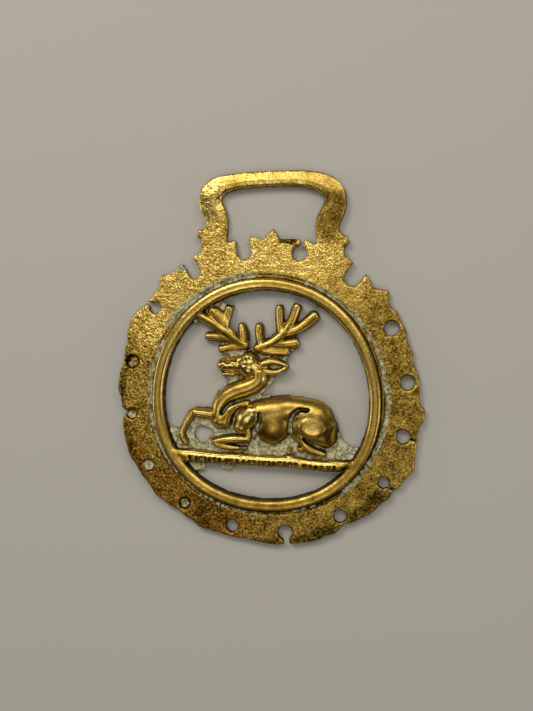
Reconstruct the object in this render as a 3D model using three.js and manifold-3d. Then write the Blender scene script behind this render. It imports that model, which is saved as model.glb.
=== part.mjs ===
// Horse brass with a recumbent stag, cast in one piece of brass.
// Millimetres. The brass lies on its flat back, so +Z is its front and +Y points to the hanger.
// Every place below is given from the centre of the ring that frames the stag; the finished
// casting is then moved so that the origin is at the middle of its underside.
// Bearings are in degrees, clockwise from +Y, as on a clock face.
import * as THREE from 'three';
import { mergeVertices } from 'three/addons/utils/BufferGeometryUtils.js';
import Module from 'manifold-3d';

// Thicknesses, measured up from the flat back.
const RIM_THICK = 2.2;
const WEB_THICK = 1.2;
const CUP_THICK = 2.9;
const BELOW = -2;
const ABOVE = 9;
const FINEST = 0.05;

// Worn front edge of the rim plate.
const RIM_BEVEL = 0.45;
const RIM_STEP = 2.8;

// Framing ring: half-round moulding, a little out of round.
const RING_OUTER = 29.05;
const RING_INNER = 25.9;
const RING_CREST = 3.8;
const RING_SEGMENTS = 60;
const RING_WAVES = [
  { waves: 2, swell: 0.34, bearing: -33 },
  { waves: 3, swell: 0.35, bearing: -1 },
  { waves: 4, swell: 0.2, bearing: 42 },
];

// Rim outline: bearing and radius of each worn crown tip, dip and nick.
const RIM_TURNS = [
  [1.3, 39.1], [6.5, 39.5], [11.5, 40.0], [14, 39.6], [20, 38.8], [26.5, 39.7], [28.6, 39.5],
  [37.5, 38.8], [41, 37.6], [45.6, 39.9], [50, 37.6], [53.5, 38.6], [57.3, 38.0], [60, 38.2],
  [65.3, 37.3], [68.8, 37.9], [72.8, 37.1], [77.5, 37.8], [82.5, 38.0], [88.2, 37.7],
  [90.5, 39.1], [94.6, 39.4], [97, 38.5], [102, 38.8], [108, 39.5], [112, 40.7], [116.3, 39.9],
  [119, 39.9], [123, 39.0], [125.3, 39.4], [129.5, 38.6], [132.5, 38.9], [138, 38.2],
  [142, 37.7], [143.9, 37.0], [148.5, 37.9], [153.2, 37.6], [156, 37.9], [161, 37.4],
  [171, 37.0], [180, 36.3], [184, 36.0], [188, 36.3], [193, 36.1], [203.5, 36.8], [207, 36.3],
  [211, 36.5], [214.2, 36.1], [217.5, 36.9], [221, 36.9], [224, 37.5], [228, 37.2], [236, 37.3],
  [243.5, 37.7], [251, 37.4], [257.2, 36.8], [259.2, 35.2], [261.2, 36.8], [265.5, 36.9],
  [267.7, 37.6], [272.5, 37.7], [280.7, 37.2], [284.8, 37.9], [287, 37.6], [291.5, 38.9],
  [296, 39.4], [300, 38.8], [303, 38.0], [306.5, 38.2], [310, 38.1], [314.3, 40.1],
  [318, 38.9], [322, 39.1], [330, 39.5], [336, 39.0], [342, 39.5], [344.5, 39.6],
  [351.2, 39.8], [355, 38.9], [358.7, 41.5],
];

// Holes round the rim: bearing and radius of the centre, radius of the hole, width of the
// mouth where it breaks out through the edge, and the floor left by dirt where it is clogged.
const RIM_HOLES = [
  { bearing: 9.4, reach: 36.3, radius: 1.85, mouth: 0.8 },
  { bearing: 32.4, reach: 36.3, radius: 2.15, mouth: 4.3 },
  { bearing: 57.7, reach: 35.2, radius: 1.8 },
  { bearing: 80.6, reach: 35.0, radius: 1.75 },
  { bearing: 102.3, reach: 35.2, radius: 1.7, mouth: 0.4 },
  { bearing: 122.1, reach: 35.9, radius: 1.35, mouth: 0.4 },
  { bearing: 144.2, reach: 34.8, radius: 1.55 },
  { bearing: 167.9, reach: 34.2, radius: 1.75, mouth: 1.5 },
  { bearing: 190.7, reach: 33.5, radius: 1.45 },
  { bearing: 213.2, reach: 33.8, radius: 1.5, floor: 0.9 },
  { bearing: 235.4, reach: 34.3, radius: 1.7, floor: 1.3 },
  { bearing: 258.4, reach: 34.3, radius: 1.5, mouth: 0.8, floor: 1.0 },
  { bearing: 280.2, reach: 34.9, radius: 1.75, floor: 0.9 },
  { bearing: 304.2, reach: 35.7, radius: 1.45, mouth: 0.75 },
  { bearing: 325.8, reach: 35.7, radius: 1.55, mouth: 3.0 },
  { bearing: 347.4, reach: 36.1, radius: 1.8, mouth: 3.4 },
];

// Hanger loop: centreline as x, y, half-width and crest, from the left foot over to the right.
const HANGER = [
  [-14.8, 33.0, 3.3, 2.0], [-15.6, 36.0, 3.3, 2.1], [-15.7, 38.8, 3.2, 2.2],
  [-15.2, 41.8, 2.9, 2.4], [-15.9, 44.2, 2.95, 2.6], [-17.1, 46.8, 3.0, 2.75],
  [-17.2, 49.0, 2.95, 2.85], [-15.7, 51.1, 2.5, 2.9], [-12.5, 52.5, 2.05, 2.9],
  [-7, 53.4, 1.95, 2.9], [0, 54.1, 1.95, 2.9], [6, 54.3, 2.05, 2.9], [10.4, 53.5, 2.4, 2.9],
  [13.3, 51.6, 2.7, 2.85], [14.0, 48.8, 2.8, 2.75], [13.3, 46.2, 2.9, 2.65],
  [12.3, 43.6, 2.95, 2.55], [12.6, 41.0, 3.05, 2.4], [13.4, 38.2, 3.4, 2.2],
  [13.4, 35.0, 3.8, 2.1], [13.0, 33.0, 3.9, 2.0],
];
const HANGER_FULLNESS = 0.45;
const HANGER_CUSPS = [
  [[-17.6, 38.9, 1.2, 2.2], [-19.2, 39.2, 1.1, 2.1]],
  [[14.8, 39.8, 1.7, 2.3], [16.8, 39.5, 1.3, 2.1]],
];

// Ground bar under the stag, with its reeded lower edge.
const BAR_CREST = 3.7;
const BAR = [
  [-23.4, -15.4, 1.1], [-20.6, -16.1, 1.2], [-17.6, -16.3, 1.5], [-14.6, -16.3, 1.5],
  [-12, -16.4, 1.3], [-4, -16.3, 1.25], [3, -16.1, 1.2], [7, -15.7, 1.45], [11, -16.1, 1.2],
  [16, -16.2, 1.15], [18.6, -15.9, 1.35], [21, -15.6, 1.1], [23.6, -14.9, 1.0],
];
const REEDS = 27;
const REED_PITCH = 1.38;
const REED_START = -17.6;
const REED_RADIUS = 0.6;
const REED_LENGTH = 3.4;
const REED_SLOPE = 1.15;
const REED_DROP = 1.1;
const REED_HEIGHT = 2.8;

// Figure: each limb has a route, with half-widths and crest heights spread evenly along it.
const FOOT = 0.25;
const LIMB_AXIS = 1.1;
const LIMB_SIDES = 9;
const DOME_SIDES = 14;
const FULLNESS = 0.8;
const LIMBS = {
  spine: {
    route: [[-3.8, -3.6], [-1, -3.1], [3, -2.6], [7, -2.1], [10.8, -2.4], [13.9, -4.2],
      [15.7, -7.1], [16.1, -9.2]],
    half: [2.4, 2.4],
    crest: [4.6, 4.6, 3.9],
  },
  shoulder: {
    route: [[-3.1, -4.5], [-4.3, -6.7], [-5.2, -8]],
    half: [2.3, 2.0],
    crest: [5.0, 4.2],
  },
  mane: {
    route: [[-5.4, -2.6], [-7.4, -3.5], [-8.9, -5.0], [-9.3, -7.3]],
    half: [0.9, 1.6],
    crest: [3.6, 3.8],
  },
  neck: {
    route: [[-2.2, 5.2], [-2.1, 3.4], [-4.4, 1.9], [-7.4, 0.8], [-10.2, -0.8], [-11.5, -3.2],
      [-11.8, -5.4]],
    half: [1.7, 1.85, 1.5],
    crest: [4.2, 4.0, 3.7],
  },
  muzzle: {
    route: [[-6.4, 7.5], [-8.8, 7.3], [-10.9, 6.9]],
    half: [1.9, 1.5, 1.6],
    crest: [4.0, 3.7],
  },
  jaw: { route: [[-6.8, 5.7], [-9, 5], [-11, 4.9]], half: [0.8, 0.5], crest: [2.9, 2.6] },
  ear: {
    route: [[-1.2, 6.8], [1.3, 7.3], [3.4, 7.5], [4.5, 7.4]],
    half: [1.0, 1.5, 1.3, 0.8],
    crest: [3.8, 3.2],
  },
  fore_arm: { route: [[-12.6, -5.9], [-15, -5.4], [-17.4, -5.3]], half: [1.4, 1.15], crest: [3.3, 3.5] },
  fore_shin: { route: [[-18.2, -5.6], [-19.4, -8], [-20.2, -10]], half: [1.0, 0.75], crest: [3.4, 3.1] },
  fore_hoof: { route: [[-20.3, -11.1], [-19.6, -12.7]], half: [0.85, 0.8], crest: [3.2, 2.9] },
  folded_arm: {
    route: [[-4.2, -11], [-6.5, -11.1], [-9.5, -11.6], [-11.7, -12.2]],
    half: [1.0, 1.15, 1.0],
    crest: [3.6, 3.2],
  },
  folded_shin: { route: [[-11, -12.7], [-8.6, -13.3], [-5.8, -13.3]], half: [0.9, 0.6], crest: [3.1, 2.7] },
  folded_hoof: { route: [[-4.8, -13.4], [-3.9, -13.1]], half: [0.5, 0.5], crest: [2.9, 2.7] },
  hind_shin: {
    route: [[9.8, -9.6], [11.2, -11.7], [13, -12.8], [15.2, -13.2]],
    half: [1.3, 1.1, 0.7],
    crest: [3.8, 3.1],
  },
  right_beam: {
    route: [[-2.7, 12], [-1.2, 12.5], [0.8, 13.6], [2.8, 15.3], [4.3, 17.2], [5.4, 19.4], [6.3, 22.6]],
    half: [1.0, 1.0],
    crest: [3.6, 3.2],
  },
  right_brow: { route: [[-2, 12.8], [-2.5, 14.6], [-2.8, 17.3]], half: [0.95, 0.9], crest: [3.4, 3.1] },
  right_inner: { route: [[2.8, 15.9], [2.3, 18], [1.9, 22.1]], half: [1.0, 0.95], crest: [3.2, 3.0] },
  right_outer: {
    route: [[3.8, 16], [6.6, 17], [8.8, 18.7], [10.7, 20.6]],
    half: [1.0, 1.35],
    crest: [3.2, 3.1],
  },
  right_leaf: { route: [[0.6, 12.8], [3.4, 13], [6.4, 13.6]], half: [1.1, 1.3], crest: [2.9, 2.8] },
  right_base: { route: [[-1.6, 11.3], [1.8, 11.1], [4.5, 11.2]], half: [1.0, 0.95], crest: [2.9, 2.5] },
  left_beam: {
    route: [[-5.9, 12.3], [-7.4, 13], [-9.8, 14.4], [-12.2, 15.8], [-15, 17.5], [-19, 19.3]],
    half: [1.0, 1.05],
    crest: [3.6, 3.0],
  },
  left_brow: { route: [[-6.3, 12.9], [-6.6, 15], [-7.3, 17.2]], half: [1.1, 1.2, 0.75], crest: [3.3, 2.9] },
  left_outer: { route: [[-8.6, 13.2], [-12, 13.8], [-15.5, 13.8]], half: [0.85, 0.95], crest: [3.0, 2.7] },
  left_base: { route: [[-6.8, 12], [-9.4, 11.6], [-12, 10.9]], half: [0.8, 0.85], crest: [2.8, 2.5] },
};

// Rounded masses: centre, half-lengths, height and turn.
const MASSES = {
  belly: { at: [2.2, -5.7], size: [4.4, 5.8], crest: 4.9, turn: -6 },
  rump: { at: [12.0, -5.7], size: [5.7, 5.8], crest: 4.9, turn: 0 },
  haunch: { at: [12.1, -6.7], size: [3.3, 2.5], crest: 5.4, turn: -8 },
  chest: { at: [-10.8, -6.6], size: [2.3, 2.3], crest: 3.7, turn: 20 },
  head: { at: [-4.5, 7.2], size: [2.9, 3.5], crest: 4.6, turn: 0 },
  brow: { at: [-5.0, 9.2], size: [1.9, 1.4], crest: 4.9, turn: 20, sides: 10 },
  nose: { at: [-11.2, 7.0], size: [1.6, 1.7], crest: 3.9, turn: 0, sides: 10 },
  far_hoof: { at: [6.9, -12.7], size: [0.7, 0.5], crest: 2.8, turn: -20, sides: 8 },
  near_hoof: { at: [9.6, -12.5], size: [1.1, 0.6], crest: 2.9, turn: -25, sides: 8 },
};

// Grooves carved down to the web between the masses.
const GROOVE_AXIS = 6.8;
const GROOVE_FLOOR = 1.5;
const GROOVE_SIDES = 6;
const GROOVES = {
  under_neck: { route: [[-3.4, -0.9], [-6.4, -1.9], [-9.4, -3.1], [-10.9, -5.2]], half: 0.45 },
  behind_mane: { route: [[-4.6, -3.2], [-6.5, -4.2], [-7.6, -6.4], [-8, -8.8]], half: 0.36 },
  behind_shoulder: { route: [[-0.9, -4.5], [-0.8, -6.2], [-1.7, -8.6], [-2.5, -11.6]], half: 0.5 },
  flank: { route: [[10.6, -2.7], [8.6, -2.9], [7.2, -4.3], [6.6, -6.4], [6.8, -9.6]], half: 0.65 },
  hock: { route: [[10.6, -10.2], [13.4, -11.4], [16.8, -12.5]], half: 0.42 },
  folded_leg: { route: [[-8.4, -12.4], [-6.4, -12.5], [-4, -12.2]], half: 0.32 },
  under_shoulder: { route: [[-8.8, -9.6], [-6.6, -9.8], [-4.6, -9.9]], half: 0.25 },
  mouth: { route: [[-12.8, 5.8], [-10.8, 5.5], [-8.6, 5.6]], half: 0.26 },
};

// Small pits: ear hollow, nostril and eye.
const PITS = [
  { at: [2.2, 7.2], size: [1.7, 0.6], floor: 2.1, sides: 8 },
  { at: [-9.8, 8.2], size: [0.5, 0.55], floor: 2.8, sides: 6 },
  { at: [-6.7, 8.4], size: [0.6, 0.45], floor: 3.5, sides: 6 },
];

// Thin web of metal left between the parts of the figure.
const BODY_WEB = [
  [-13.1, -2], [-13.2, -4.2], [-18.2, -4.2], [-19.5, -6.5], [-20.9, -9.6], [-24.8, -9.4],
  [-22.5, -15], [-17.6, -20], [-14.2, -19.6], [-13.9, -17.4], [-10.4, -17.4], [-9.6, -18.8],
  [-7.6, -19.2], [-5.8, -17.4], [16, -17.2], [18.9, -17.9], [18.9, -20.6], [22, -16],
  [24.9, -10.9], [22.6, -11.2], [20.4, -10.2], [19, -8.4], [18.2, -5.4], [13, 0], [5.4, 0.7],
  [-1.9, -0.4], [-4, 0.6], [-12, 0.6],
];
const LEG_HOLE = [
  [-16.8, -9], [-16, -8.5], [-13.6, -9], [-12.5, -9.7], [-13.6, -11.6], [-14.2, -12.8],
  [-15.6, -13], [-17.3, -11.8], [-17.5, -10.2],
];
const CHIN_WEB = [[-11.4, 4.4], [-10, 3.9], [-9.7, 3.1], [-11, 1.8], [-5, 1.5], [-4, 4.6], [-7, 6.2]];
const NAPE_WEB = [
  [2.6, 6.2], [1.6, 4.1], [0.8, 2.6], [-0.4, 1.2], [-1.3, 0.2], [-0.6, -0.6], [-4, -1], [-3, 6],
];
const CROWN_WEB = [
  [-12.6, 10.1], [-9.8, 9.8], [-9.4, 8.4], [-3.2, 7.4], [-0.8, 7.4], [4.6, 8.6], [5.1, 10.4], [6.8, 12.9],
  [7.1, 14.6], [3.6, 14.7], [1.8, 15.9], [1.2, 16], [-1.2, 14], [-3, 13.6], [-4, 11.7],
  [-5.2, 11.7], [-6.2, 13.6], [-8.4, 15.2], [-9.4, 14.8], [-10.5, 13], [-13, 11.6],
];
const CUP = [
  [-15.7, 20.2], [-13.7, 20.9], [-11.5, 21.4], [-9.4, 22], [-9.9, 20.2], [-10.1, 18],
  [-10.4, 16.2], [-9.6, 14.8], [-12.4, 16.2], [-15, 18.4],
];
const CUP_WEB = [
  [-20.6, 16.8], [-17.5, 17.2], [-14, 16], [-9.4, 21.8], [-12.2, 22.4], [-12.8, 23.6],
  [-17.6, 20.4],
];
const CUP_HOLE = { at: [-16.5, 19.4], size: [0.65, 0.5], sides: 8 };

const BRASS = { color: 0xa8863a, roughness: 0.36, metalness: 1 };

const wasm = await Module();
wasm.setup();

function solidOf(geometry) {
  const bare = geometry.clone();
  bare.deleteAttribute('normal');
  bare.deleteAttribute('uv');
  const merged = mergeVertices(bare, 1e-4);
  const triVerts = new Uint32Array(merged.index.array);
  const vertProperties = new Float32Array(merged.attributes.position.array);
  const mesh = new wasm.Mesh({ numProp: 3, vertProperties, triVerts, tolerance: FINEST });
  return new wasm.Manifold(mesh);
}

function joined(solids) {
  return solids.reduce((whole, solid) => whole.add(solid));
}

function polar(bearing, radius) {
  const turn = THREE.MathUtils.degToRad(bearing);
  return new THREE.Vector2(radius * Math.sin(turn), radius * Math.cos(turn));
}

// Factor by which the ring is out of round at a bearing.
function ringSwell(bearing) {
  const turn = (wave) => THREE.MathUtils.degToRad(wave.waves * (bearing - wave.bearing));
  const swell = RING_WAVES.reduce((sum, wave) => sum + wave.swell * Math.cos(turn(wave)), 0);
  return 1 + swell / RING_OUTER;
}

// Prism over an outline, from one height to another.
function prism(outline, from, to) {
  const shape = new THREE.Shape(outline.map(([x, y]) => new THREE.Vector2(x, y)));
  const geometry = new THREE.ExtrudeGeometry(shape, { depth: to - from, bevelEnabled: false });
  return solidOf(geometry.translate(0, 0, from));
}

// Plate over an outline, with its front edge worn round.
function wornPlate(outline, top, bevel) {
  const geometry = new THREE.ExtrudeGeometry(new THREE.Shape(outline), {
    depth: top - BELOW - 2 * bevel,
    bevelThickness: bevel,
    bevelSize: bevel,
    bevelOffset: -bevel,
    bevelSegments: 1,
  });
  return solidOf(geometry.translate(0, 0, BELOW + bevel));
}

// Dome over an oval, on a straight wall. A negative rise makes a bowl, to be cut away.
function dome({ at, size, turn = 0, sides = DOME_SIDES }, axis, rise, wall) {
  const arc = Math.round(sides / 3);
  const profile = [new THREE.Vector2(0, -wall), new THREE.Vector2(1, -wall)];
  for (let i = 0; i <= arc; i += 1) {
    const angle = (Math.PI / 2) * (i / arc);
    const reach = i < arc ? Math.cos(angle) ** FULLNESS : 0;
    profile.push(new THREE.Vector2(reach, rise * Math.sin(angle) ** FULLNESS));
  }
  const geometry = new THREE.LatheGeometry(profile, sides).rotateX(Math.PI / 2);
  geometry.scale(size[0], size[1], 1).rotateZ(THREE.MathUtils.degToRad(turn));
  return solidOf(geometry.translate(at[0], at[1], axis));
}

// Value at a fraction of the way through a list of evenly spread values.
function spread(values, fraction) {
  const place = fraction * (values.length - 1);
  const before = Math.min(Math.floor(place), values.length - 2);
  return THREE.MathUtils.lerp(values[before], values[before + 1], place - before);
}

// Rounded ridge along a route. Each station gives x, y, half-width and height above the axis.
// The ball's poles become the two ends, its upper half an arch and its lower half a straight
// wall whose foot flares out. A side of -1 turns the ridge over, to be cut away as a groove.
function ridge(stations, options) {
  const { axis, wall, foot = 0, sides = LIMB_SIDES, step = 2.4, side = 1, fullness = 1 } = options;
  const curve = new THREE.CatmullRomCurve3(
    stations.map(([x, y]) => new THREE.Vector3(x, y, 0)), false, 'centripetal');
  const sizes = new THREE.CatmullRomCurve3(
    stations.map(([, , half, rise]) => new THREE.Vector3(half, rise, 0)), false, 'centripetal');
  const spans = Math.max(2, Math.round(curve.getLength() / step));
  const ends = 2;
  const rows = spans + 2 * ends;
  const arch = sides - 3;
  const geometry = new THREE.SphereGeometry(1, sides, rows);
  const place = geometry.attributes.position;
  for (let row = 0; row <= rows; row += 1) {
    const along = THREE.MathUtils.clamp((row - ends) / spans, 0, 1);
    const beyond = row < ends ? row - ends : Math.max(0, row - ends - spans);
    const cap = (beyond / ends) * (Math.PI / 2);
    const tangent = curve.getTangent(along);
    const { x: half, y: rise } = sizes.getPoint(along);
    const point = curve.getPoint(along).addScaledVector(tangent, half * Math.sin(cap));
    const narrow = Math.cos(cap);
    for (let column = 0; column <= sides; column += 1) {
      const angle = Math.PI * Math.min(1, column / arch);
      const lift = Math.sin(angle);
      const flare = foot * (1 - lift) ** 3;
      let reach = (half + flare) * Math.cos(angle) * narrow;
      let height = rise * lift ** fullness * narrow ** 0.6;
      if (column > arch) {
        reach = (half + foot) * narrow * (column === arch + 1 ? -1 : 1);
        height = -wall;
      }
      if (column === sides) {
        height = 0;
      }
      if (row === 0 || row === rows) {
        height = -wall;
      }
      const index = row * (sides + 1) + column;
      const across = reach * side;
      place.setXYZ(index, point.x + tangent.y * across, point.y - tangent.x * across, axis + height * side);
    }
  }
  return solidOf(geometry);
}

function limb({ route, half, crest }) {
  const stations = route.map(([x, y], i) => {
    const fraction = i / (route.length - 1);
    return [x, y, spread(half, fraction), spread(crest, fraction) - LIMB_AXIS];
  });
  return ridge(stations, { axis: LIMB_AXIS, wall: LIMB_AXIS + 1, foot: FOOT });
}

function groove({ route, half }) {
  const stations = route.map(([x, y]) => [x, y, half, GROOVE_AXIS - GROOVE_FLOOR]);
  return ridge(stations, { axis: GROOVE_AXIS, wall: 1, sides: GROOVE_SIDES, side: -1 });
}

function rimOutline() {
  const points = [];
  RIM_TURNS.forEach(([bearing, radius], i) => {
    const next = RIM_TURNS[(i + 1) % RIM_TURNS.length];
    const span = (next[0] - bearing + 360) % 360;
    const steps = Math.max(1, Math.round(span / RIM_STEP));
    for (let step = 0; step < steps; step += 1) {
      const ease = (1 - Math.cos((Math.PI * step) / steps)) / 2;
      points.push(polar(bearing + (span * step) / steps, THREE.MathUtils.lerp(radius, next[1], ease)));
    }
  });
  return points.reverse();
}

function rimHole({ bearing, reach, radius, mouth = 0, floor = BELOW }) {
  const height = ABOVE - floor;
  const middle = floor + height / 2;
  const parts = [new THREE.CylinderGeometry(radius + 0.1, radius, height, 14).rotateX(Math.PI / 2)];
  if (mouth > 0) {
    parts.push(new THREE.BoxGeometry(mouth, 8, height).translate(0, 4, 0));
  }
  const turn = -THREE.MathUtils.degToRad(bearing);
  return joined(parts.map((part) => solidOf(part.translate(0, reach, middle).rotateZ(turn))));
}

function rim() {
  const bore = new THREE.CylinderGeometry(RING_INNER + 1.2, RING_INNER + 1.2, 20, RING_SEGMENTS);
  const plate = wornPlate(rimOutline(), RIM_THICK, RIM_BEVEL);
  const holes = joined(RIM_HOLES.map(rimHole));
  return plate.subtract(solidOf(bore.rotateX(Math.PI / 2))).subtract(holes);
}

function ring() {
  const span = RING_OUTER - RING_INNER;
  const profile = [
    [0, BELOW], [1, BELOW], [1, 2.3], [0.93, 3.0], [0.78, 3.55], [0.55, RING_CREST],
    [0.3, 3.55], [0.11, 2.9], [0, 2.0], [0, BELOW],
  ].map(([across, height]) => new THREE.Vector2(RING_INNER + across * span, height));
  const geometry = new THREE.LatheGeometry(profile, RING_SEGMENTS).rotateX(Math.PI / 2);
  const place = geometry.attributes.position;
  for (let i = 0; i < place.count; i += 1) {
    const bearing = THREE.MathUtils.radToDeg(Math.atan2(place.getX(i), place.getY(i)));
    const swell = ringSwell(bearing);
    place.setXY(i, place.getX(i) * swell, place.getY(i) * swell);
  }
  return solidOf(geometry);
}

function hanger() {
  const bar = (stations) => ridge(
    stations.map(([x, y, half, crest]) => [x, y, half, crest - LIMB_AXIS]),
    { axis: LIMB_AXIS, wall: LIMB_AXIS + 1, fullness: HANGER_FULLNESS });
  return joined([HANGER, ...HANGER_CUSPS].map(bar));
}

// Middle of the ground bar at a place along it.
function barMiddle(x) {
  const after = BAR.findIndex((station) => station[0] > x);
  const [from, to] = [BAR[after - 1], BAR[after]];
  return THREE.MathUtils.mapLinear(x, from[0], to[0], from[1], to[1]);
}

function groundBar() {
  const stations = BAR.map(([x, y, half]) => [x, y, half, BAR_CREST - LIMB_AXIS]);
  const bar = ridge(stations, { axis: LIMB_AXIS, wall: LIMB_AXIS + 1, foot: 0.1, step: 3 });
  const cuts = [];
  for (let i = 0; i < REEDS; i += 1) {
    const x = REED_START + i * REED_PITCH;
    const cut = new THREE.CylinderGeometry(REED_RADIUS, REED_RADIUS, REED_LENGTH, 3);
    cut.rotateY(Math.PI).rotateX(REED_SLOPE);
    cuts.push(solidOf(cut.translate(x, barMiddle(x) - REED_DROP, REED_HEIGHT)));
  }
  return bar.subtract(joined(cuts));
}

function web() {
  const outlines = [BODY_WEB, CHIN_WEB, NAPE_WEB, CROWN_WEB, CUP_WEB];
  const sheets = outlines.map((outline) => prism(outline, BELOW, WEB_THICK));
  const cup = wornPlate(CUP.map(([x, y]) => new THREE.Vector2(x, y)), CUP_THICK, 0.4);
  return joined([...sheets, cup])
    .subtract(prism(LEG_HOLE, BELOW, ABOVE))
    .subtract(dome(CUP_HOLE, 2, 1, 4));
}

function stag() {
  const limbs = Object.values(LIMBS).map(limb);
  const masses = Object.values(MASSES).map((mass) => (
    dome(mass, LIMB_AXIS, mass.crest - LIMB_AXIS, LIMB_AXIS + 1)));
  const pits = PITS.map((pit) => dome(pit, pit.floor + 2, 5, 2));
  return joined([...limbs, ...masses])
    .subtract(joined([...Object.values(GROOVES).map(groove), ...pits]));
}

// Room in front of the flat back.
function frontSpace() {
  return solidOf(new THREE.BoxGeometry(200, 200, 20).translate(0, 0, 10));
}

function casting() {
  return joined([rim(), ring(), hanger(), groundBar(), web(), stag()]).intersect(frontSpace());
}

function geometryOf(solid) {
  const mesh = solid.getMesh();
  const geometry = new THREE.BufferGeometry();
  geometry.setAttribute('position', new THREE.BufferAttribute(mesh.vertProperties, mesh.numProp));
  geometry.setIndex(new THREE.BufferAttribute(mesh.triVerts, 1));
  return geometry;
}

const geometry = geometryOf(casting());
geometry.computeBoundingBox();
const middle = geometry.boundingBox.getCenter(new THREE.Vector3());
geometry.translate(-middle.x, -middle.y, 0);
geometry.computeVertexNormals();

const brass = new THREE.Mesh(geometry, new THREE.MeshStandardMaterial(BRASS));
brass.name = 'horse_brass';

const group = new THREE.Group();
group.add(brass);

export default group;
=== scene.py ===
"""Looks of a cast horse brass: a pierced rim, a moulded ring, a strap loop and a lying stag.

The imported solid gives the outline, the place and the size. This script takes a copy of it,
fuses smooth mouldings to it, raises it into the relief, and gives it the surface of old sand-cast
brass with verdigris in its recesses. Sizes are in millimetres from the centre of the ring,
bearings in degrees clockwise from the strap loop, unless a name says otherwise.
"""
import logging
import math
from dataclasses import dataclass, field
from enum import Enum
from functools import partial

import bmesh
import bpy
import numpy as np
from bpy.types import Material, Mesh, Node, NodeSocket, NodeTree, Object
from mathutils import Matrix, Vector


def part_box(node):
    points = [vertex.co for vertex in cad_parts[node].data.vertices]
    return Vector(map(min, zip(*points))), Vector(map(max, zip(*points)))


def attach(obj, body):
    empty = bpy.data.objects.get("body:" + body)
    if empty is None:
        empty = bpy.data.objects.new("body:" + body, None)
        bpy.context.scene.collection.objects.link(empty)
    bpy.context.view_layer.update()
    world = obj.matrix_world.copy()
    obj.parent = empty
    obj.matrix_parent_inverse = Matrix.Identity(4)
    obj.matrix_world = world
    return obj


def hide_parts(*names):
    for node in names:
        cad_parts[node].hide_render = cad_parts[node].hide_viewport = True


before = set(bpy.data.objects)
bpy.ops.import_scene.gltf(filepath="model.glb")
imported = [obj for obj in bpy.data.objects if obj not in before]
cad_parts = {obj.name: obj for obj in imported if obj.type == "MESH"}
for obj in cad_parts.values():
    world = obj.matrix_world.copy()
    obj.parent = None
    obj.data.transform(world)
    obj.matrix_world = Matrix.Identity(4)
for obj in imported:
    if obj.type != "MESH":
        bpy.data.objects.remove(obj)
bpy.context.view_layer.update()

NODE = "horse_brass"
MM = 0.001
LOG = logging.getLogger("horse_brass")

# From the low corner of the solid's box to the centre of the ring.
CORNER_TO_RING = (37.664, 36.623)
CENTRE = np.array([*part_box(NODE)[0].xy, 0.0]) / MM + (*CORNER_TO_RING, 0.0)

# Heights in y over which the rim turns into the strap loop.
LOOP_FOOT = (40.0, 44.0)

# Stands for no surface here: far below every height, and its negative far above.
OFF = -20.0

Array = np.ndarray
Route = tuple[tuple[float, float], ...]


class Level(Enum):
    """Heights of the flat grounds of the casting above its back, in mm."""

    WEB = 1.2
    RIM = 2.2


# ---- numbers over many points


def smooth_step(low: float, high: float, value: Array) -> Array:
    """Rises smoothly from 0 at low to 1 at high."""
    t = np.clip((value - low) / (high - low), 0.0, 1.0)
    return t * t * (3.0 - 2.0 * t)


def smooth_max(a: Array, b: Array, reach: float) -> Array:
    """The larger of two heights, with a fillet.

    Args:
        a: first heights.
        b: second heights.
        reach: difference of height over which the fillet runs.

    Returns:
        The joined heights.
    """
    share = np.clip(0.5 + 0.5 * (b - a) / reach, 0.0, 1.0)
    return a + (b - a) * share + reach * share * (1.0 - share)


def smooth_min(a: Array, b: Array, reach: float) -> Array:
    """The smaller of two heights, with a fillet of the given reach."""
    return -smooth_max(-a, -b, reach)


def catmull_rom(points: Array, steps: int) -> Array:
    """Runs a smooth curve through rows of numbers.

    Args:
        points: one row for each station.
        steps: number of parts between two stations.

    Returns:
        The rows along the curve.
    """
    rows = np.vstack([2 * points[0] - points[1], points, 2 * points[-1] - points[-2]])
    t = np.linspace(0.0, 1.0, steps, endpoint=False)[:, None]
    out = []
    for a, b, c, d in zip(rows, rows[1:], rows[2:], rows[3:]):
        out.append(0.5 * (2 * b + (c - a) * t + (2 * a - 5 * b + 4 * c - d) * t**2
                          + (3 * b - a - 3 * c + d) * t**3))
    return np.vstack([*out, rows[-2]])


def spread(values: tuple[float, ...], count: int) -> Array:
    """Values spread evenly over a number of stations."""
    return np.interp(np.linspace(0.0, 1.0, count), np.linspace(0.0, 1.0, len(values)), values)


class LatticeNoise:
    """Smooth noise from a lattice of seeded random values."""

    SIZE = 48

    def __init__(self, seed: int) -> None:
        """Draws the lattice for a seed."""
        draw = np.random.default_rng(seed)
        self.lattice = draw.uniform(-1.0, 1.0, (self.SIZE,) * 3)

    def at(self, points: Array, grain: float) -> Array:
        """Noise from -1 to 1 at points, with lumps of about the grain's size in mm."""
        place = points / grain
        cell = np.floor(place).astype(int)
        part = place - cell
        part = part * part * (3.0 - 2.0 * part)
        total = np.zeros(len(points))
        for corner in np.ndindex(2, 2, 2):
            index = (cell + corner) % self.SIZE
            share = np.prod(np.where(corner, part, 1.0 - part), axis=1)
            total += share * self.lattice[index[:, 0], index[:, 1], index[:, 2]]
        return total

    def layers(self, points: Array, grain: float, count: int = 3) -> Array:
        """Noise of several grains, each half the size and half the strength of the last."""
        return sum(self.at(points + 7.3 * i, grain / 2**i) / 2**i for i in range(count))


def bearing_of(points: Array) -> Array:
    """Bearing of each point round the ring's centre, from 0 to 360."""
    return np.degrees(np.arctan2(points[:, 0], points[:, 1])) % 360.0


def window(value: Array, low: float, high: float, edge: float) -> Array:
    """1 between low and high, fading to 0 over an edge outside them."""
    return smooth_step(low - edge, low, value) * (1.0 - smooth_step(high, high + edge, value))


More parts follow.
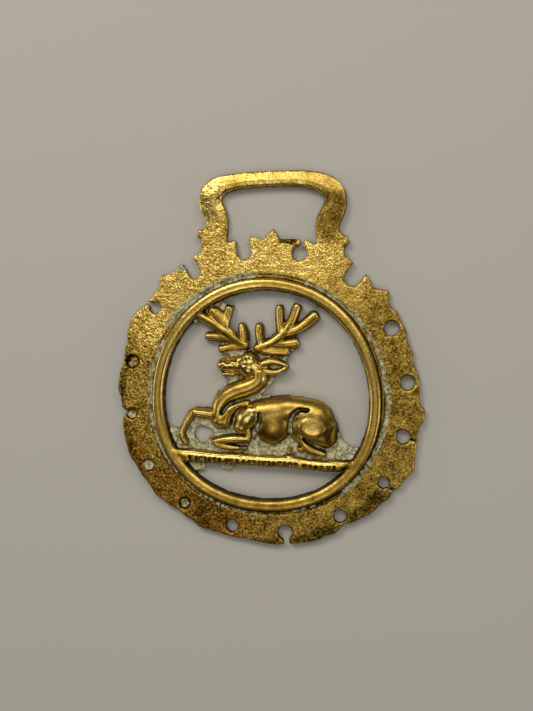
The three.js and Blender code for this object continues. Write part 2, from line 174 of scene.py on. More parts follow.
def bearing_window(points: Array, low: float, high: float, edge: float) -> Array:
    """A window on the bearing, from low clockwise to high."""
    middle = (low + ((high - low) % 360.0) / 2.0) % 360.0
    half = ((high - low) % 360.0) / 2.0
    away = np.abs((bearing_of(points) - middle + 180.0) % 360.0 - 180.0)
    return 1.0 - smooth_step(half, half + edge, away)


# ---- forms of the relief


@dataclass(frozen=True)
class Ridge:
    """A rounded ridge along a route, the form of a limb or a tine."""

    route: Route
    half: tuple[float, ...]
    crest: tuple[float, ...]
    fillet: float = 0.3
    fullness: float = 2.2
    foot: float = 0.9

    def height(self, points: Array) -> Array:
        """Height of the ridge at points, or a low number off it.

        Args:
            points: places in mm, one row each.

        Returns:
            Heights in mm.
        """
        count = len(self.route)
        out = np.full(len(points), OFF)
        near, away, _, (half, crest) = beside(
            points, (self.route, spread(self.half, count), spread(self.crest, count)),
            1.5 * max(self.half))
        rise = np.clip(1.0 - (away / half) ** self.fullness, 0.0, 1.0) ** 0.5
        out[near] = np.where(rise > 0.0, self.foot + (crest - self.foot) * rise, OFF)
        return out


@dataclass(frozen=True)
class Mass:
    """A rounded mass over an oval, the form of a body, a haunch or a head."""

    at: tuple[float, float]
    size: tuple[float, float]
    crest: float
    turn: float = 0.0
    fillet: float = 0.5
    fullness: float = 2.2
    foot: float = 0.9

    def height(self, points: Array) -> Array:
        """Height of the mass at points, or a low number off it."""
        turn = math.radians(self.turn)
        x = points[:, 0] - self.at[0]
        y = points[:, 1] - self.at[1]
        u = (x * math.cos(turn) + y * math.sin(turn)) / self.size[0]
        v = (-x * math.sin(turn) + y * math.cos(turn)) / self.size[1]
        away = np.sqrt(u * u + v * v)
        rise = np.clip(1.0 - away**self.fullness, 0.0, 1.0) ** 0.5
        return np.where(rise > 0.0, self.foot + (self.crest - self.foot) * rise, OFF)


@dataclass(frozen=True)
class Groove:
    """A groove along a route, cut down to a floor."""

    route: Route
    half: tuple[float, ...]
    floor: float = 1.4
    wall: float = 2.6

    def height(self, points: Array) -> Array:
        """Height of the groove's surface at points, or a high number off it."""
        out = np.full(len(points), -OFF)
        near, away, _, (half,) = beside(
            points, (self.route, spread(self.half, len(self.route))), 3.0 * max(self.half))
        out[near] = self.floor + self.wall * np.clip(away / half - 0.55, 0.0, None) ** 1.5
        return out


@dataclass(frozen=True)
class Crease:
    """A small raised or sunk line on a form: a wrinkle, a lip or a lock of hair."""

    route: Route
    half: float
    lift: float

    def offset(self, points: Array) -> Array:
        """How far the crease moves the surface up at points."""
        out = np.zeros(len(points))
        share = np.linspace(0.0, 1.0, len(self.route))
        near, away, _, (place,) = beside(points, (self.route, share), self.half, 5)
        fade = np.sin(np.pi * np.clip(place, 0.06, 0.94)) ** 0.4
        out[near] = self.lift * fade * np.clip(1.0 - (away / self.half) ** 2, 0.0, 1.0) ** 1.5
        return out


def beside(points: Array, columns: tuple, margin: float, steps: int = 6
           ) -> tuple[Array, Array, Array, Array]:
    """Measures the points that lie near a smooth route.

    Args:
        points: places in mm, one row each.
        columns: the route's stations, x and y first, then whatever varies along it.
        margin: how far past the route's box a point may lie.
        steps: parts of the curve between two stations.

    Returns:
        Which points are near, and for those: their distance, their side (1 to the right of
        the route's way, -1 to the left) and one row for each thing that varies along it.
    """
    line = catmull_rom(np.column_stack(columns).astype(float), steps)
    way = line[:, :2]
    near = np.all((points[:, :2] >= way.min(0) - margin)
                  & (points[:, :2] <= way.max(0) + margin), axis=1)
    close = points[near, :2]
    best = np.full(len(close), np.inf)
    place = np.zeros(len(close))
    side = np.ones(len(close))
    for i, (a, b) in enumerate(zip(way, way[1:])):
        along = b - a
        from_a = close - a
        t = np.clip((from_a @ along) / max(along @ along, 1e-9), 0.0, 1.0)
        away = np.linalg.norm(from_a - t[:, None] * along, axis=1)
        closer = away < best
        best = np.where(closer, away, best)
        place = np.where(closer, i + t, place)
        right = np.sign(from_a[:, 0] * along[1] - from_a[:, 1] * along[0])
        side = np.where(closer, right, side)
    varying = np.array([np.interp(place, np.arange(len(line)), row) for row in line.T[2:]])
    return near, best, side, varying


@dataclass(frozen=True)
class Stag:
    """The lying stag: forms in the order in which they overlie each other."""

    body: tuple = (
        Ridge(((-4.4, -5.4), (-2, -4.4), (0, -3.9), (3, -3.2), (5.5, -2.7), (8, -2.6),
               (11, -2.9), (12.8, -3.8)), (2.9, 3.3, 3.3, 3.3, 3.4, 3.3), (4.4, 4.7, 4.8, 4.8),
              fillet=0.8),
        Mass((2.4, -5.9), (4.8, 6.0), 4.75, turn=-6, fillet=1.6),
        Mass((12.2, -5.7), (6.6, 6.3), 4.9, fillet=1.6),
        Ridge(((13.2, -3.9), (15.4, -6.2), (16.1, -8.8), (15.6, -9.8)), (2.7, 2.5, 2.0),
              (4.2, 3.9, 3.6), fillet=1.6),
    )
    shoulder: tuple = (
        Ridge(((-3.2, -4.2), (-4.4, -6.2), (-5.3, -8.0)), (2.5, 2.9, 2.3), (4.9, 4.9, 4.2),
              fillet=1.0),
        Ridge(((-3.7, -8.2), (-3.5, -10), (-3.6, -11.2)), (0.8, 0.9, 0.9), (3.5, 3.5, 3.4),
              fillet=0.5),
    )
    neck: tuple = (
        Ridge(((-4.2, -1.9), (-6.2, -2.5), (-8.0, -3.6), (-9.1, -5.2), (-9.4, -7.2)),
              (0.7, 1.0, 1.6, 1.7, 1.5), (2.9, 3.4, 3.9, 4.0, 3.6)),
        Mass((-10.7, -6.8), (2.6, 2.3), 3.7, turn=20, fillet=0.8),
        Ridge(((-1.8, 5.6), (-1.8, 3.9), (-3.9, 2.2), (-7.0, 0.9), (-9.8, -0.8), (-11.3, -3.1),
               (-11.7, -5.4)), (1.9, 2.2, 2.4, 2.4, 2.3, 2.1, 1.7),
              (4.2, 4.2, 4.1, 3.9, 3.8, 3.6), fillet=0.4),
        Mass((-7.1, -5.1), (0.55, 0.5), 4.1),
    )
    head: tuple = (
        Ridge(((-6.2, 7.3), (-8.8, 7.2), (-11.0, 6.9)), (2.3, 1.95, 1.9), (4.2, 3.9, 3.9),
              fillet=0.5),
        Mass((-11.2, 6.9), (1.7, 1.85), 3.95),
        Ridge(((-6.8, 5.6), (-9, 4.9), (-11.2, 4.6)), (0.9, 0.7, 0.6), (2.8, 2.5)),
        Mass((-4.6, 7.3), (2.8, 3.65), 4.6, fillet=0.7),
        Mass((-4.9, 9.3), (1.9, 1.3), 4.75, turn=12, fillet=0.5),
        Ridge(((-1.9, 7.4), (-0.6, 8.2), (1.2, 8.7), (3.0, 8.4), (5.0, 7.8)),
              (1.0, 1.15, 1.1, 0.9, 0.7), (3.9, 3.7, 3.6, 3.3)),
        Ridge(((-1.6, 6.4), (0.6, 6.0), (2.8, 6.2), (4.6, 7.2)), (1.1, 1.15, 1.1, 0.8),
              (3.6, 3.4, 3.3, 3.1)),
        Ridge(((-0.6, 7.2), (2, 7.2), (4.6, 7.5)), (1.1, 1.3, 0.7), (3.0, 2.7, 2.8)),
    )
    legs: tuple = (
        Ridge(((-12.6, -5.7), (-15, -5.4), (-17.5, -5.3)), (1.6, 1.4, 1.3), (3.3, 3.5)),
        Ridge(((-18.2, -5.7), (-19.4, -8), (-20.2, -10)), (1.2, 1.0, 0.85), (3.4, 3.1)),
        Ridge(((-20.4, -10.8), (-20.1, -12), (-19.3, -13)), (0.85, 0.95, 0.9), (3.3, 3.1)),
        Ridge(((-3.9, -11), (-6.5, -11.1), (-9.5, -11.6), (-12, -12.3)), (1.0, 1.25, 1.2, 1.0),
              (3.7, 3.6, 3.2)),
        Ridge(((-11.6, -12.7), (-8.8, -13.3), (-5.8, -13.4)), (1.0, 0.9, 0.65), (3.1, 2.7)),
        Mass((-4.3, -13.3), (1.0, 0.55), 3.1, turn=8),
        Ridge(((9.4, -9.2), (10.9, -11.4), (12.9, -12.6), (15.4, -13.2)), (1.1, 1.35, 1.2, 0.8),
              (3.9, 3.6, 3.1), fillet=0.6),
        Mass((6.9, -12.7), (0.85, 0.55), 3.0, turn=-15),
        Mass((9.6, -12.5), (1.15, 0.65), 3.1, turn=-20),
    )
    antlers: tuple = (
        Ridge(((-8.4, 13.6), (-11.0, 16.2), (-13.0, 18.6), (-14.6, 20.2)), (1.2, 2.0, 2.2, 1.5),
              (3.2, 3.1), fillet=0.6),
        Ridge(((-9.6, 14.8), (-10.6, 17.6), (-10.6, 20.9)), (1.2, 1.6, 1.3), (3.1, 3.0),
              fillet=0.6),
        Ridge(((0.6, 12.8), (3.4, 13), (6.4, 13.6)), (1.3, 1.5), (2.9, 2.8)),
        Ridge(((-1.6, 11.3), (1.8, 11.1), (4.5, 11.2)), (1.2, 1.2), (2.9, 2.6)),
        Ridge(((-2.7, 11.8), (-1.2, 12.5), (0.8, 13.6), (2.8, 15.3), (4.3, 17.2), (5.4, 19.4),
               (6.3, 22.5)), (1.35, 1.3), (3.7, 3.3)),
        Ridge(((-2, 12.8), (-2.6, 14.8), (-2.8, 17.1)), (1.2, 1.1), (3.4, 3.2)),
        Ridge(((2.9, 15.9), (2.4, 18), (1.9, 22)), (1.25, 1.15), (3.3, 3.1)),
        Ridge(((3.8, 16), (6.6, 17), (8.8, 18.7), (10.7, 20.6)), (1.25, 1.5), (3.3, 3.1)),
        Ridge(((-6.8, 12), (-9.4, 11.6), (-12, 10.9)), (1.1, 1.0), (2.8, 2.5)),
        Ridge(((-8.6, 13.2), (-12, 13.8), (-15.5, 13.8)), (1.2, 1.2), (3.1, 2.8)),
        Ridge(((-5.9, 12.3), (-7.4, 13), (-9.8, 14.4), (-12.2, 15.8), (-15, 17.5), (-19, 19.3)),
              (1.4, 1.35), (3.7, 3.0)),
        Ridge(((-6.4, 12.8), (-6.7, 15), (-7.2, 17)), (1.3, 1.3, 1.0), (3.4, 3.0)),
    )
    haunch: Mass = Mass((12.1, -6.7), (3.5, 2.6), 5.35, turn=-8, fullness=4.0, foot=4.3)
    grooves: tuple = (
        Groove(((-2.6, -0.6), (-6.0, -1.5), (-9.0, -2.9), (-10.5, -5.0)), (0.35, 0.45, 0.35)),
        Groove(((-4.6, -3.2), (-6.4, -4.1), (-7.5, -6.2), (-7.8, -8.8)), (0.25, 0.4, 0.4)),
        Groove(((-1.0, -4.5), (-0.9, -6.0), (-1.7, -8.4), (-2.6, -11.6)), (0.3, 0.5, 0.6),
               floor=2.3),
        Groove(((10.8, -2.7), (8.8, -2.8), (7.3, -4.2), (6.7, -6.4), (6.8, -9.6)),
               (0.35, 0.45, 0.5, 0.6, 0.9), floor=2.4),
        Groove(((10.4, -10.0), (13.2, -11.3), (16.8, -12.4)), (0.3, 0.45, 0.5)),
        Groove(((-8.4, -12.4), (-6.4, -12.5), (-4.2, -12.3)), (0.15, 0.32, 0.2)),
        Groove(((-9.4, -9.4), (-6.8, -9.7), (-4.6, -10.0)), (0.3, 0.28, 0.2)),
        Groove(((-12.8, 5.6), (-10.8, 5.3), (-8.4, 5.2)), (0.2, 0.26, 0.3), floor=1.9),
        Groove(((0.6, 7.3), (2.2, 7.3), (3.6, 7.5)), (0.5, 0.6, 0.3), floor=1.8),
        Groove(((-10.0, 8.5), (-9.7, 8.0), (-9.5, 7.5)), (0.25, 0.35, 0.2), floor=2.5),
        Groove(((-2.9, 9.4), (-2.1, 8.6), (-1.9, 7.7)), (0.2, 0.25, 0.2), floor=2.4),
    )
    creases: tuple = (
        Crease(((-7.3, 7.4), (-7.0, 8.3), (-6.2, 8.7)), 0.4, -0.45),
        Crease(((-5.8, 7.1), (-5.3, 7.2)), 0.4, -0.35),
        Crease(((-5.9, 6.4), (-4.8, 6.3), (-3.2, 5.7)), 0.3, -0.12),
        Crease(((-5.2, 5.5), (-4.0, 5.0), (-3.0, 5.0)), 0.3, -0.1),
        Crease(((-4.4, 8.4), (-3.8, 7.4), (-3.9, 6.6)), 0.35, 0.12),
        Crease(((-10.9, 8.3), (-10.9, 7.3), (-10.0, 6.8), (-9.2, 7.0)), 0.5, 0.28),
        Crease(((-8.9, 8.9), (-8.2, 8.7)), 0.4, 0.2),
        Crease(((-8.7, 7.6), (-7.9, 7.6)), 0.4, 0.18),
        Crease(((-7.7, 8.6), (-7.6, 7.9)), 0.35, -0.25),
        Crease(((-8.9, -3.4), (-8.9, -5), (-9.3, -6.8)), 0.35, 0.15),
        Crease(((-3.4, -8.2), (-3.0, -9.4), (-3.2, -10.6)), 0.35, 0.2),
        Crease(((-0.8, 12.6), (1.6, 13.6), (3.6, 15.4)), 0.4, 0.12),
        Crease(((-15.4, 20.0), (-12.8, 20.8), (-10, 21.4)), 0.5, 0.25),
    )

    def heights(self, points: Array, ground: Array) -> Array:
        """Height of the figure over its ground.

        Args:
            points: places in mm, one row each.
            ground: height of the ground under each.

        Returns:
            Heights in mm.
        """
        top = ground.copy()
        for form in (*self.body, *self.shoulder, *self.legs, *self.neck, *self.head,
                     *self.antlers):
            top = smooth_max(top, form.height(points), form.fillet)
        plateau = self.haunch.height(points)
        top = np.where(plateau > 0.0, smooth_max(top, plateau, 0.4), top)
        for groove in self.grooves:
            cut = np.maximum(groove.height(points), np.minimum(ground, top))
            top = np.where(cut < 10.0, smooth_min(top, cut, 0.3), top)
        for crease in self.creases:
            top = top + crease.offset(points)
        return top


@dataclass(frozen=True)
class Section:
    """A table of heights across a moulding, as a smooth curve."""

    across: tuple[float, ...]
    rise: tuple[float, ...]

    def at(self, place: Array) -> Array:
        """Height at places across, or a low number beyond the ends."""
        curve = catmull_rom(np.column_stack([self.across, self.rise]), 8)
        height = np.interp(place, curve[:, 0], curve[:, 1])
        return np.where((place > self.across[0]) & (place < self.across[-1]), height, OFF)


@dataclass(frozen=True)
class Ring:
    """The moulded ring round the figure, a little out of round."""

    outer: float = 29.05
    inner: float = 25.9
    waves: tuple = ((2, 0.34, -33.0), (3, 0.35, -1.0), (4, 0.2, 42.0))
    section: Section = Section(
        (-0.06, 0.0, 0.06, 0.16, 0.32, 0.52, 0.7, 0.85, 0.95, 1.02, 1.14, 1.34),
        (1.6, 2.1, 2.85, 3.35, 3.62, 3.72, 3.68, 3.45, 2.9, 1.95, 1.75, 2.15))

    def place(self, points: Array) -> Array:
        """Place of each point across the moulding, from 0 inside to 1 outside."""
        bearing = bearing_of(points)
        swell = sum(size * np.cos(np.radians(count * (bearing - start)))
                    for count, size, start in self.waves)
        radius = np.hypot(points[:, 0], points[:, 1]) / (1.0 + swell / self.outer)
        return (radius - self.inner) / (self.outer - self.inner)


@dataclass(frozen=True)
class GroundBar:
    """The bar that the stag lies on: two mouldings over a reeded lower edge."""

    stations: tuple = (
        (-23.4, -15.4, 1.2, 3.5), (-20.6, -16.1, 1.35, 3.6), (-17.6, -16.3, 1.55, 3.7),
        (-14.6, -16.3, 1.55, 3.7), (-12, -16.35, 1.4, 3.7), (-4, -16.25, 1.4, 3.7),
        (3, -16.1, 1.35, 3.7), (7, -15.9, 1.45, 3.8), (11, -16.1, 1.35, 3.7),
        (16, -16.2, 1.3, 3.7), (18.6, -15.9, 1.4, 3.7), (21, -15.6, 1.2, 3.6),
        (23.6, -14.9, 1.1, 3.4))
    cuts: tuple[float, ...] = (
        -17.6, -16.1, -15.0, -13.9, -12.7, -11.5, -10.3, -8.5, -7.3, -5.8, -4.2, -2.7, -1.5,
        -0.2, 1.0, 2.1, 3.3, 4.7, 5.9, 7.3, 8.8, 11.0, 12.4, 13.7, 15.1, 16.9, 18.2)
    cut_half: float = 0.3
    cut_depth: float = 1.3
    section: Section = Section(
        (-1.12, -1.0, -0.8, -0.4, -0.05, 0.3, 0.5, 0.66, 0.92, 1.1),
        (1.4, 2.6, 3.25, 3.5, 3.7, 3.66, 3.45, 3.5, 3.1, 1.6))
    lumps: tuple = (Mass((-5.0, -15.0), (0.8, 0.5), 3.7), Mass((7.0, -14.5), (1.4, 0.55), 3.4),
                    Mass((21.8, -15.4), (1.6, 1.2), 3.7, turn=25))

    def height(self, points: Array) -> Array:
        """Height of the bar at points, or a low number off it.

        Args:
            points: places in mm, one row each.

        Returns:
            Heights in mm.
        """
        way = catmull_rom(np.array(self.stations), 6)
        middle = np.interp(points[:, 0], way[:, 0], way[:, 1])
        half = np.interp(points[:, 0], way[:, 0], way[:, 2])
        crest = np.interp(points[:, 0], way[:, 0], way[:, 3])
        across = (points[:, 1] - middle) / half
        rise = self.section.at(across)
        top = np.where(rise > 0.0, rise - self.section.rise[4] + crest, OFF)
        cuts = np.array(self.cuts)
        wobble = 0.12 * np.sin(3.1 * points[:, 0] + 2.3 * points[:, 1])
        gap = np.abs(points[:, 0, None] + wobble[:, None] - cuts[None, :]).min(1)
        low = 1.0 - smooth_step(-0.1, 0.16, across)
        top = top - self.cut_depth * low * np.exp(-((gap / self.cut_half) ** 2))
        for lump in self.lumps:
            top = smooth_max(top, lump.height(points), 0.4)
        return np.where(np.abs(across) < 1.6, top, OFF)


@dataclass(frozen=True)
class Hanger:
    """The strap loop: a flat bar whose inner edge is bevelled, flush with the rim at its feet."""

    stations: tuple = (
        (-14.8, 33.0, 3.3, 2.0), (-15.6, 36.0, 3.3, 2.1), (-15.7, 38.8, 3.2, 2.2),
        (-15.2, 41.8, 2.9, 2.4), (-15.9, 44.2, 2.95, 2.6), (-17.1, 46.8, 3.0, 2.75),
        (-17.2, 49.0, 2.95, 2.85), (-15.7, 51.1, 2.5, 2.9), (-12.5, 52.5, 2.05, 2.9),
        (-7, 53.4, 1.95, 2.9), (0, 54.1, 1.95, 2.9), (6, 54.3, 2.05, 2.9),
        (10.4, 53.5, 2.4, 2.9), (13.3, 51.6, 2.7, 2.85), (14.0, 48.8, 2.8, 2.75),
        (13.3, 46.2, 2.9, 2.65), (12.3, 43.6, 2.95, 2.55), (12.6, 41.0, 3.05, 2.4),
        (13.4, 38.2, 3.4, 2.2), (13.4, 35.0, 3.8, 2.1), (13.0, 33.0, 3.9, 2.0))
    section: Section = Section(
        (-1.4, -1.0, -0.93, -0.8, -0.4, 0.0, 0.25, 0.4, 0.7, 0.88, 0.97, 1.0, 1.4),
        (-1.6, -0.95, -0.6, -0.38, -0.2, -0.06, 0.0, -0.02, -0.25, -0.5, -0.8, -1.0, -1.6))

    def height(self, points: Array) -> Array:
        """Height of the loop at points, or a low number off it."""
        out = np.full(len(points), OFF)
        near, away, side, (half, crest) = beside(points, (self.stations,), 4.5)
        fall = self.section.at(side * away / half)
        out[near] = np.where(fall > OFF, crest + fall, OFF)
        return out


# ---- nodes


def add_node(tree: NodeTree, kind: str, inputs: dict | None = None,
             **settings: object) -> Node:
    """Adds a node with its settings and links.

    Args:
        tree: the tree that gets the node.
        kind: the node's type name.
        inputs: values, or sockets to link from, by the input's name or number.
        **settings: the node's own properties.

    Returns:
        The new node.
    """
    node = tree.nodes.new(kind)
    for key, value in settings.items():
        setattr(node, key, value)
    for key, value in (inputs or {}).items():
        if isinstance(value, NodeSocket):
            tree.links.new(value, node.inputs[key])
        else:
            node.inputs[key].default_value = value
    return node


def wire(tree: NodeTree, kind: str, inputs: dict | None = None, output: int | str = 0,
         **settings: object) -> NodeSocket:
    """Adds a node as add_node does, and hands on one of its outputs."""
    return add_node(tree, kind, inputs, **settings).outputs[output]


def named_value(tree: NodeTree, name: str) -> NodeSocket:
    """The number that each point carries under a name."""
    return wire(tree, "GeometryNodeInputNamedAttribute", {"Name": name}, data_type="FLOAT")


def new_tree(name: str, sizes: dict[str, float | int]) -> tuple[NodeTree, dict]:
    """Starts a tree of Geometry Nodes.

    Args:
        name: the tree's name.
        sizes: named inputs with their defaults; a whole number makes a whole-number input.

    Returns:
        The tree and its inputs' sockets by name.
    """
    tree = bpy.data.node_groups.new(name, "GeometryNodeTree")
    tree.interface.new_socket("Geometry", in_out="INPUT", socket_type="NodeSocketGeometry")
    for key, value in sizes.items():
        kind = "NodeSocketInt" if isinstance(value, int) else "NodeSocketFloat"
        tree.interface.new_socket(key, in_out="INPUT", socket_type=kind).default_value = value
    tree.interface.new_socket("Material", in_out="INPUT", socket_type="NodeSocketMaterial")
    tree.interface.new_socket("Geometry", in_out="OUTPUT", socket_type="NodeSocketGeometry")
    given = add_node(tree, "NodeGroupInput")
    return tree, {socket.name: socket for socket in given.outputs}


def end_tree(tree: NodeTree, given: dict, geometry: NodeSocket) -> NodeTree:
    """Ends a tree with Realize Instances and Set Material."""
    real = wire(tree, "GeometryNodeRealizeInstances", {"Geometry": geometry})
    painted = wire(tree, "GeometryNodeSetMaterial",
                   {"Geometry": real, "Material": given["Material"]})
    add_node(tree, "NodeGroupOutput", {"Geometry": painted})
    return tree


def grown(source: Object, tree: NodeTree, name: str,
          values: dict[str, object]) -> Object:
    """Runs a tree on an object and turns the result into a plain mesh.

    Args:
        source: the object that carries the path, points or surface; it is removed.
        tree: the tree to run.
        name: name of the new object.
        values: values of the tree's inputs by name.

    Returns:
        The new object.
    """
    modifier = source.modifiers.new(tree.name, "NODES")
    modifier.node_group = tree
    for item in tree.interface.items_tree:
        if item.item_type == "SOCKET" and item.in_out == "INPUT" and item.name in values:
            modifier[item.identifier] = values[item.name]
    mesh = evaluated_mesh(source, name)
    drop(source)
    return link(bpy.data.objects.new(name, mesh))


def evaluated_mesh(source: Object, name: str) -> Mesh:
    """The mesh of an object with its modifiers applied."""
    graph = bpy.context.evaluated_depsgraph_get()
    graph.update()
    mesh = bpy.data.meshes.new_from_object(source.evaluated_get(graph))
    mesh.name = name
    return mesh


def link(piece: Object) -> Object:
    """Puts an object in the scene."""
    bpy.context.scene.collection.objects.link(piece)
    return piece


def drop(piece: Object) -> None:
    """Removes an object and its mesh."""
    mesh = piece.data
    bpy.data.objects.remove(piece)
    bpy.data.meshes.remove(mesh)


def mesh_object(name: str, places: Array, edges: list, faces: list) -> Object:
    """Makes an object from places in metres, edges and faces."""
    mesh = bpy.data.meshes.new(name)
    mesh.from_pydata([tuple(place) for place in places], edges, faces)
    mesh.update()
    return link(bpy.data.objects.new(name, mesh))


def store(mesh: Mesh, name: str, values: Array) -> None:
    """Stores one number for each vertex under a name."""
    layer = mesh.attributes.get(name) or mesh.attributes.new(name, "FLOAT", "POINT")
    layer.data.foreach_set("value", np.ascontiguousarray(values, dtype=np.float32))


# ---- mouldings that follow a path


@dataclass
class Strip:
    """A strip of varying width along a path: the plan of the loop or of the ground bar."""

    name: str
    stations: tuple
    step: float = 0.6
    section: int = 16

    def tree(self, sizes: dict[str, float | int]) -> NodeTree:
        """Builds the tree that sweeps an oval along the path, as wide as the strip."""
        tree, given = new_tree(self.name + "_sweep", sizes)
        add, half = partial(wire, tree), named_value(tree, "half")
        curve = add("GeometryNodeMeshToCurve", {"Mesh": given["Geometry"]})
        even = add("GeometryNodeResampleCurve", {"Curve": curve, "Length": given["Step"]},
                   mode="LENGTH")
        level = add("GeometryNodeSetCurveNormal", {"Curve": even}, mode="Z_UP")
        wide = add("GeometryNodeSetCurveRadius", {"Curve": level, "Radius": half})
        circle = add("GeometryNodeCurvePrimitiveCircle",
                     {"Resolution": given["Section"], "Radius": 1.0})
        swept = add_node(tree, "GeometryNodeCurveToMesh",
                         {"Curve": wide, "Profile Curve": circle, "Fill Caps": True})
        if "Scale" in swept.inputs:
            tree.links.new(half, swept.inputs["Scale"])
        return end_tree(tree, given, swept.outputs[0])

    def build(self) -> Object:
        """Sweeps the strip.

        Returns:
            A plain mesh object, of which only the plan matters.
        """
        line = catmull_rom(np.array(self.stations, float), 8)
        places = np.column_stack([line[:, :2], np.zeros(len(line))]) + CENTRE
        edges = [(i, i + 1) for i in range(len(line) - 1)]
        path = mesh_object(self.name + "_path", places * MM, edges, [])
        store(path.data, "half", line[:, 2] * MM)
        sizes = {"Step": self.step * MM, "Section": self.section}
        return grown(path, self.tree(sizes), self.name, sizes)


@dataclass
class Reeding:
    """The row of small ribs that scallops the lower edge of the ground bar."""

    cuts: tuple[float, ...]
    bar: tuple
    drop: float = 1.05
    length: float = 0.62
    seed: int = 5

    def tree(self, sizes: dict[str, float | int]) -> NodeTree:
        """Builds the tree that sets a rib on each point, as wide as its gap."""
        tree, given = new_tree("bar_reeding", sizes)
        add = partial(wire, tree)
        ball = add("GeometryNodeMeshUVSphere", {"Segments": 10, "Rings": 7, "Radius": 1.0})
        uneven = add("FunctionNodeRandomValue", {2: 0.75, 3: 1.1, "Seed": given["Seed"]}, 1,
                     data_type="FLOAT")
        long = add("ShaderNodeMath", {0: given["Length"], 1: uneven}, operation="MULTIPLY")
        size = add("ShaderNodeCombineXYZ",
                   {"X": named_value(tree, "width"), "Y": long, "Z": 0.003})
        ribs = add("GeometryNodeInstanceOnPoints",
                   {"Points": given["Geometry"], "Instance": ball, "Scale": size})
        return end_tree(tree, given, ribs)

    def build(self) -> Object:
        """Sets the ribs along the bar.

        Returns:
            A plain mesh object.
        """
        cuts = np.array(self.cuts)
        middle = (cuts[1:] + cuts[:-1]) / 2.0
        way = np.array(self.bar)
        y = np.interp(middle, way[:, 0], way[:, 1]) - self.drop
        places = np.column_stack([middle, y, np.zeros(len(middle))]) + CENTRE
        points = mesh_object("reeding_points", places * MM, [], [])
        store(points.data, "width", np.diff(cuts) * 0.47 * MM)
        sizes = {"Length": self.length * MM, "Seed": self.seed}
        return grown(points, self.tree(sizes), "reeding", sizes)


# ---- the casting


class Skin:
    """A mesh's vertices and their neighbours, in mm from the ring's centre."""

    def __init__(self, mesh: Mesh) -> None:
        """Reads a mesh."""
        self.mesh = mesh
        count = len(mesh.vertices)
        flat = np.empty(count * 3, np.float32)
        mesh.vertices.foreach_get("co", flat)
        self.at = flat.reshape(-1, 3).astype(float) / MM - CENTRE
        ends = np.empty(len(mesh.edges) * 2, np.int32)
        mesh.edges.foreach_get("vertices", ends)
        self.ends = ends.reshape(-1, 2)
        self.degree = np.maximum(np.bincount(self.ends.ravel(), minlength=count), 1)

    def normals(self) -> Array:
        """Vertex normals of the mesh as it is now."""
        self.write()
        flat = np.empty(len(self.mesh.vertices) * 3, np.float32)
        self.mesh.vertex_normals.foreach_get("vector", flat)
        return flat.reshape(-1, 3).astype(float)

    def around(self, values: Array) -> Array:
        """Mean of the neighbours' values at each vertex."""
        a, b = self.ends.T
        count = len(values)
        total = (np.bincount(a, values[b], count) + np.bincount(b, values[a], count))
        return total / self.degree

    def blurred(self, values: Array, rounds: int) -> Array:
        """Values blurred over the mesh."""
        for _ in range(rounds):
            values = 0.5 * values + 0.5 * self.around(values)
        return values

    def away_from(self, mask: Array, most: float) -> Array:
        """Distance along the surface from the masked vertices, up to a most.

        Args:
            mask: which vertices to measure from.
            most: the largest distance that matters, in mm.

        Returns:
            The distance of each vertex in mm.
        """
        a, b = self.ends.T
        length = np.linalg.norm(self.at[a] - self.at[b], axis=1)
        away = np.where(mask, 0.0, most)
        for _ in range(int(most / max(np.median(length), 1e-6)) + 1):
            nearer = away.copy()
            np.minimum.at(nearer, a, away[b] + length)
            np.minimum.at(nearer, b, away[a] + length)
            away = nearer
        return away

    def relax(self, rounds: int, weight: Array) -> None:
        """Takes the steps out of the surface without shrinking it.

        Args:
            rounds: number of smoothing rounds.
            weight: how far each vertex may follow, from 0 to 1.
        """
        for _ in range(rounds):
            for pull in (0.55, -0.57):
                mean = np.column_stack([self.around(self.at[:, i]) for i in range(3)])
                self.at = self.at + (weight * pull)[:, None] * (mean - self.at)

    def write(self) -> None:
        """Writes the places back to the mesh."""
        flat = ((self.at + CENTRE) * MM).astype(np.float32).ravel()
        self.mesh.vertices.foreach_set("co", flat)
        self.mesh.update()


@dataclass(frozen=True)
class Hole:
    """A hole in the rim that dirt has filled up to a floor, by bearing and reach."""

    bearing: float
    reach: float
    radius: float
    floor: float

    def height(self, points: Array) -> Array:
        """Height of the clogged hole at points, or a high number off it."""
        turn = math.radians(self.bearing)
        middle = (self.reach * math.sin(turn), self.reach * math.cos(turn))
        away = np.hypot(points[:, 0] - middle[0], points[:, 1] - middle[1]) / self.radius
        return np.where(away < 1.25, self.floor + 3.5 * np.clip(away - 0.72, 0.0, None), -OFF)


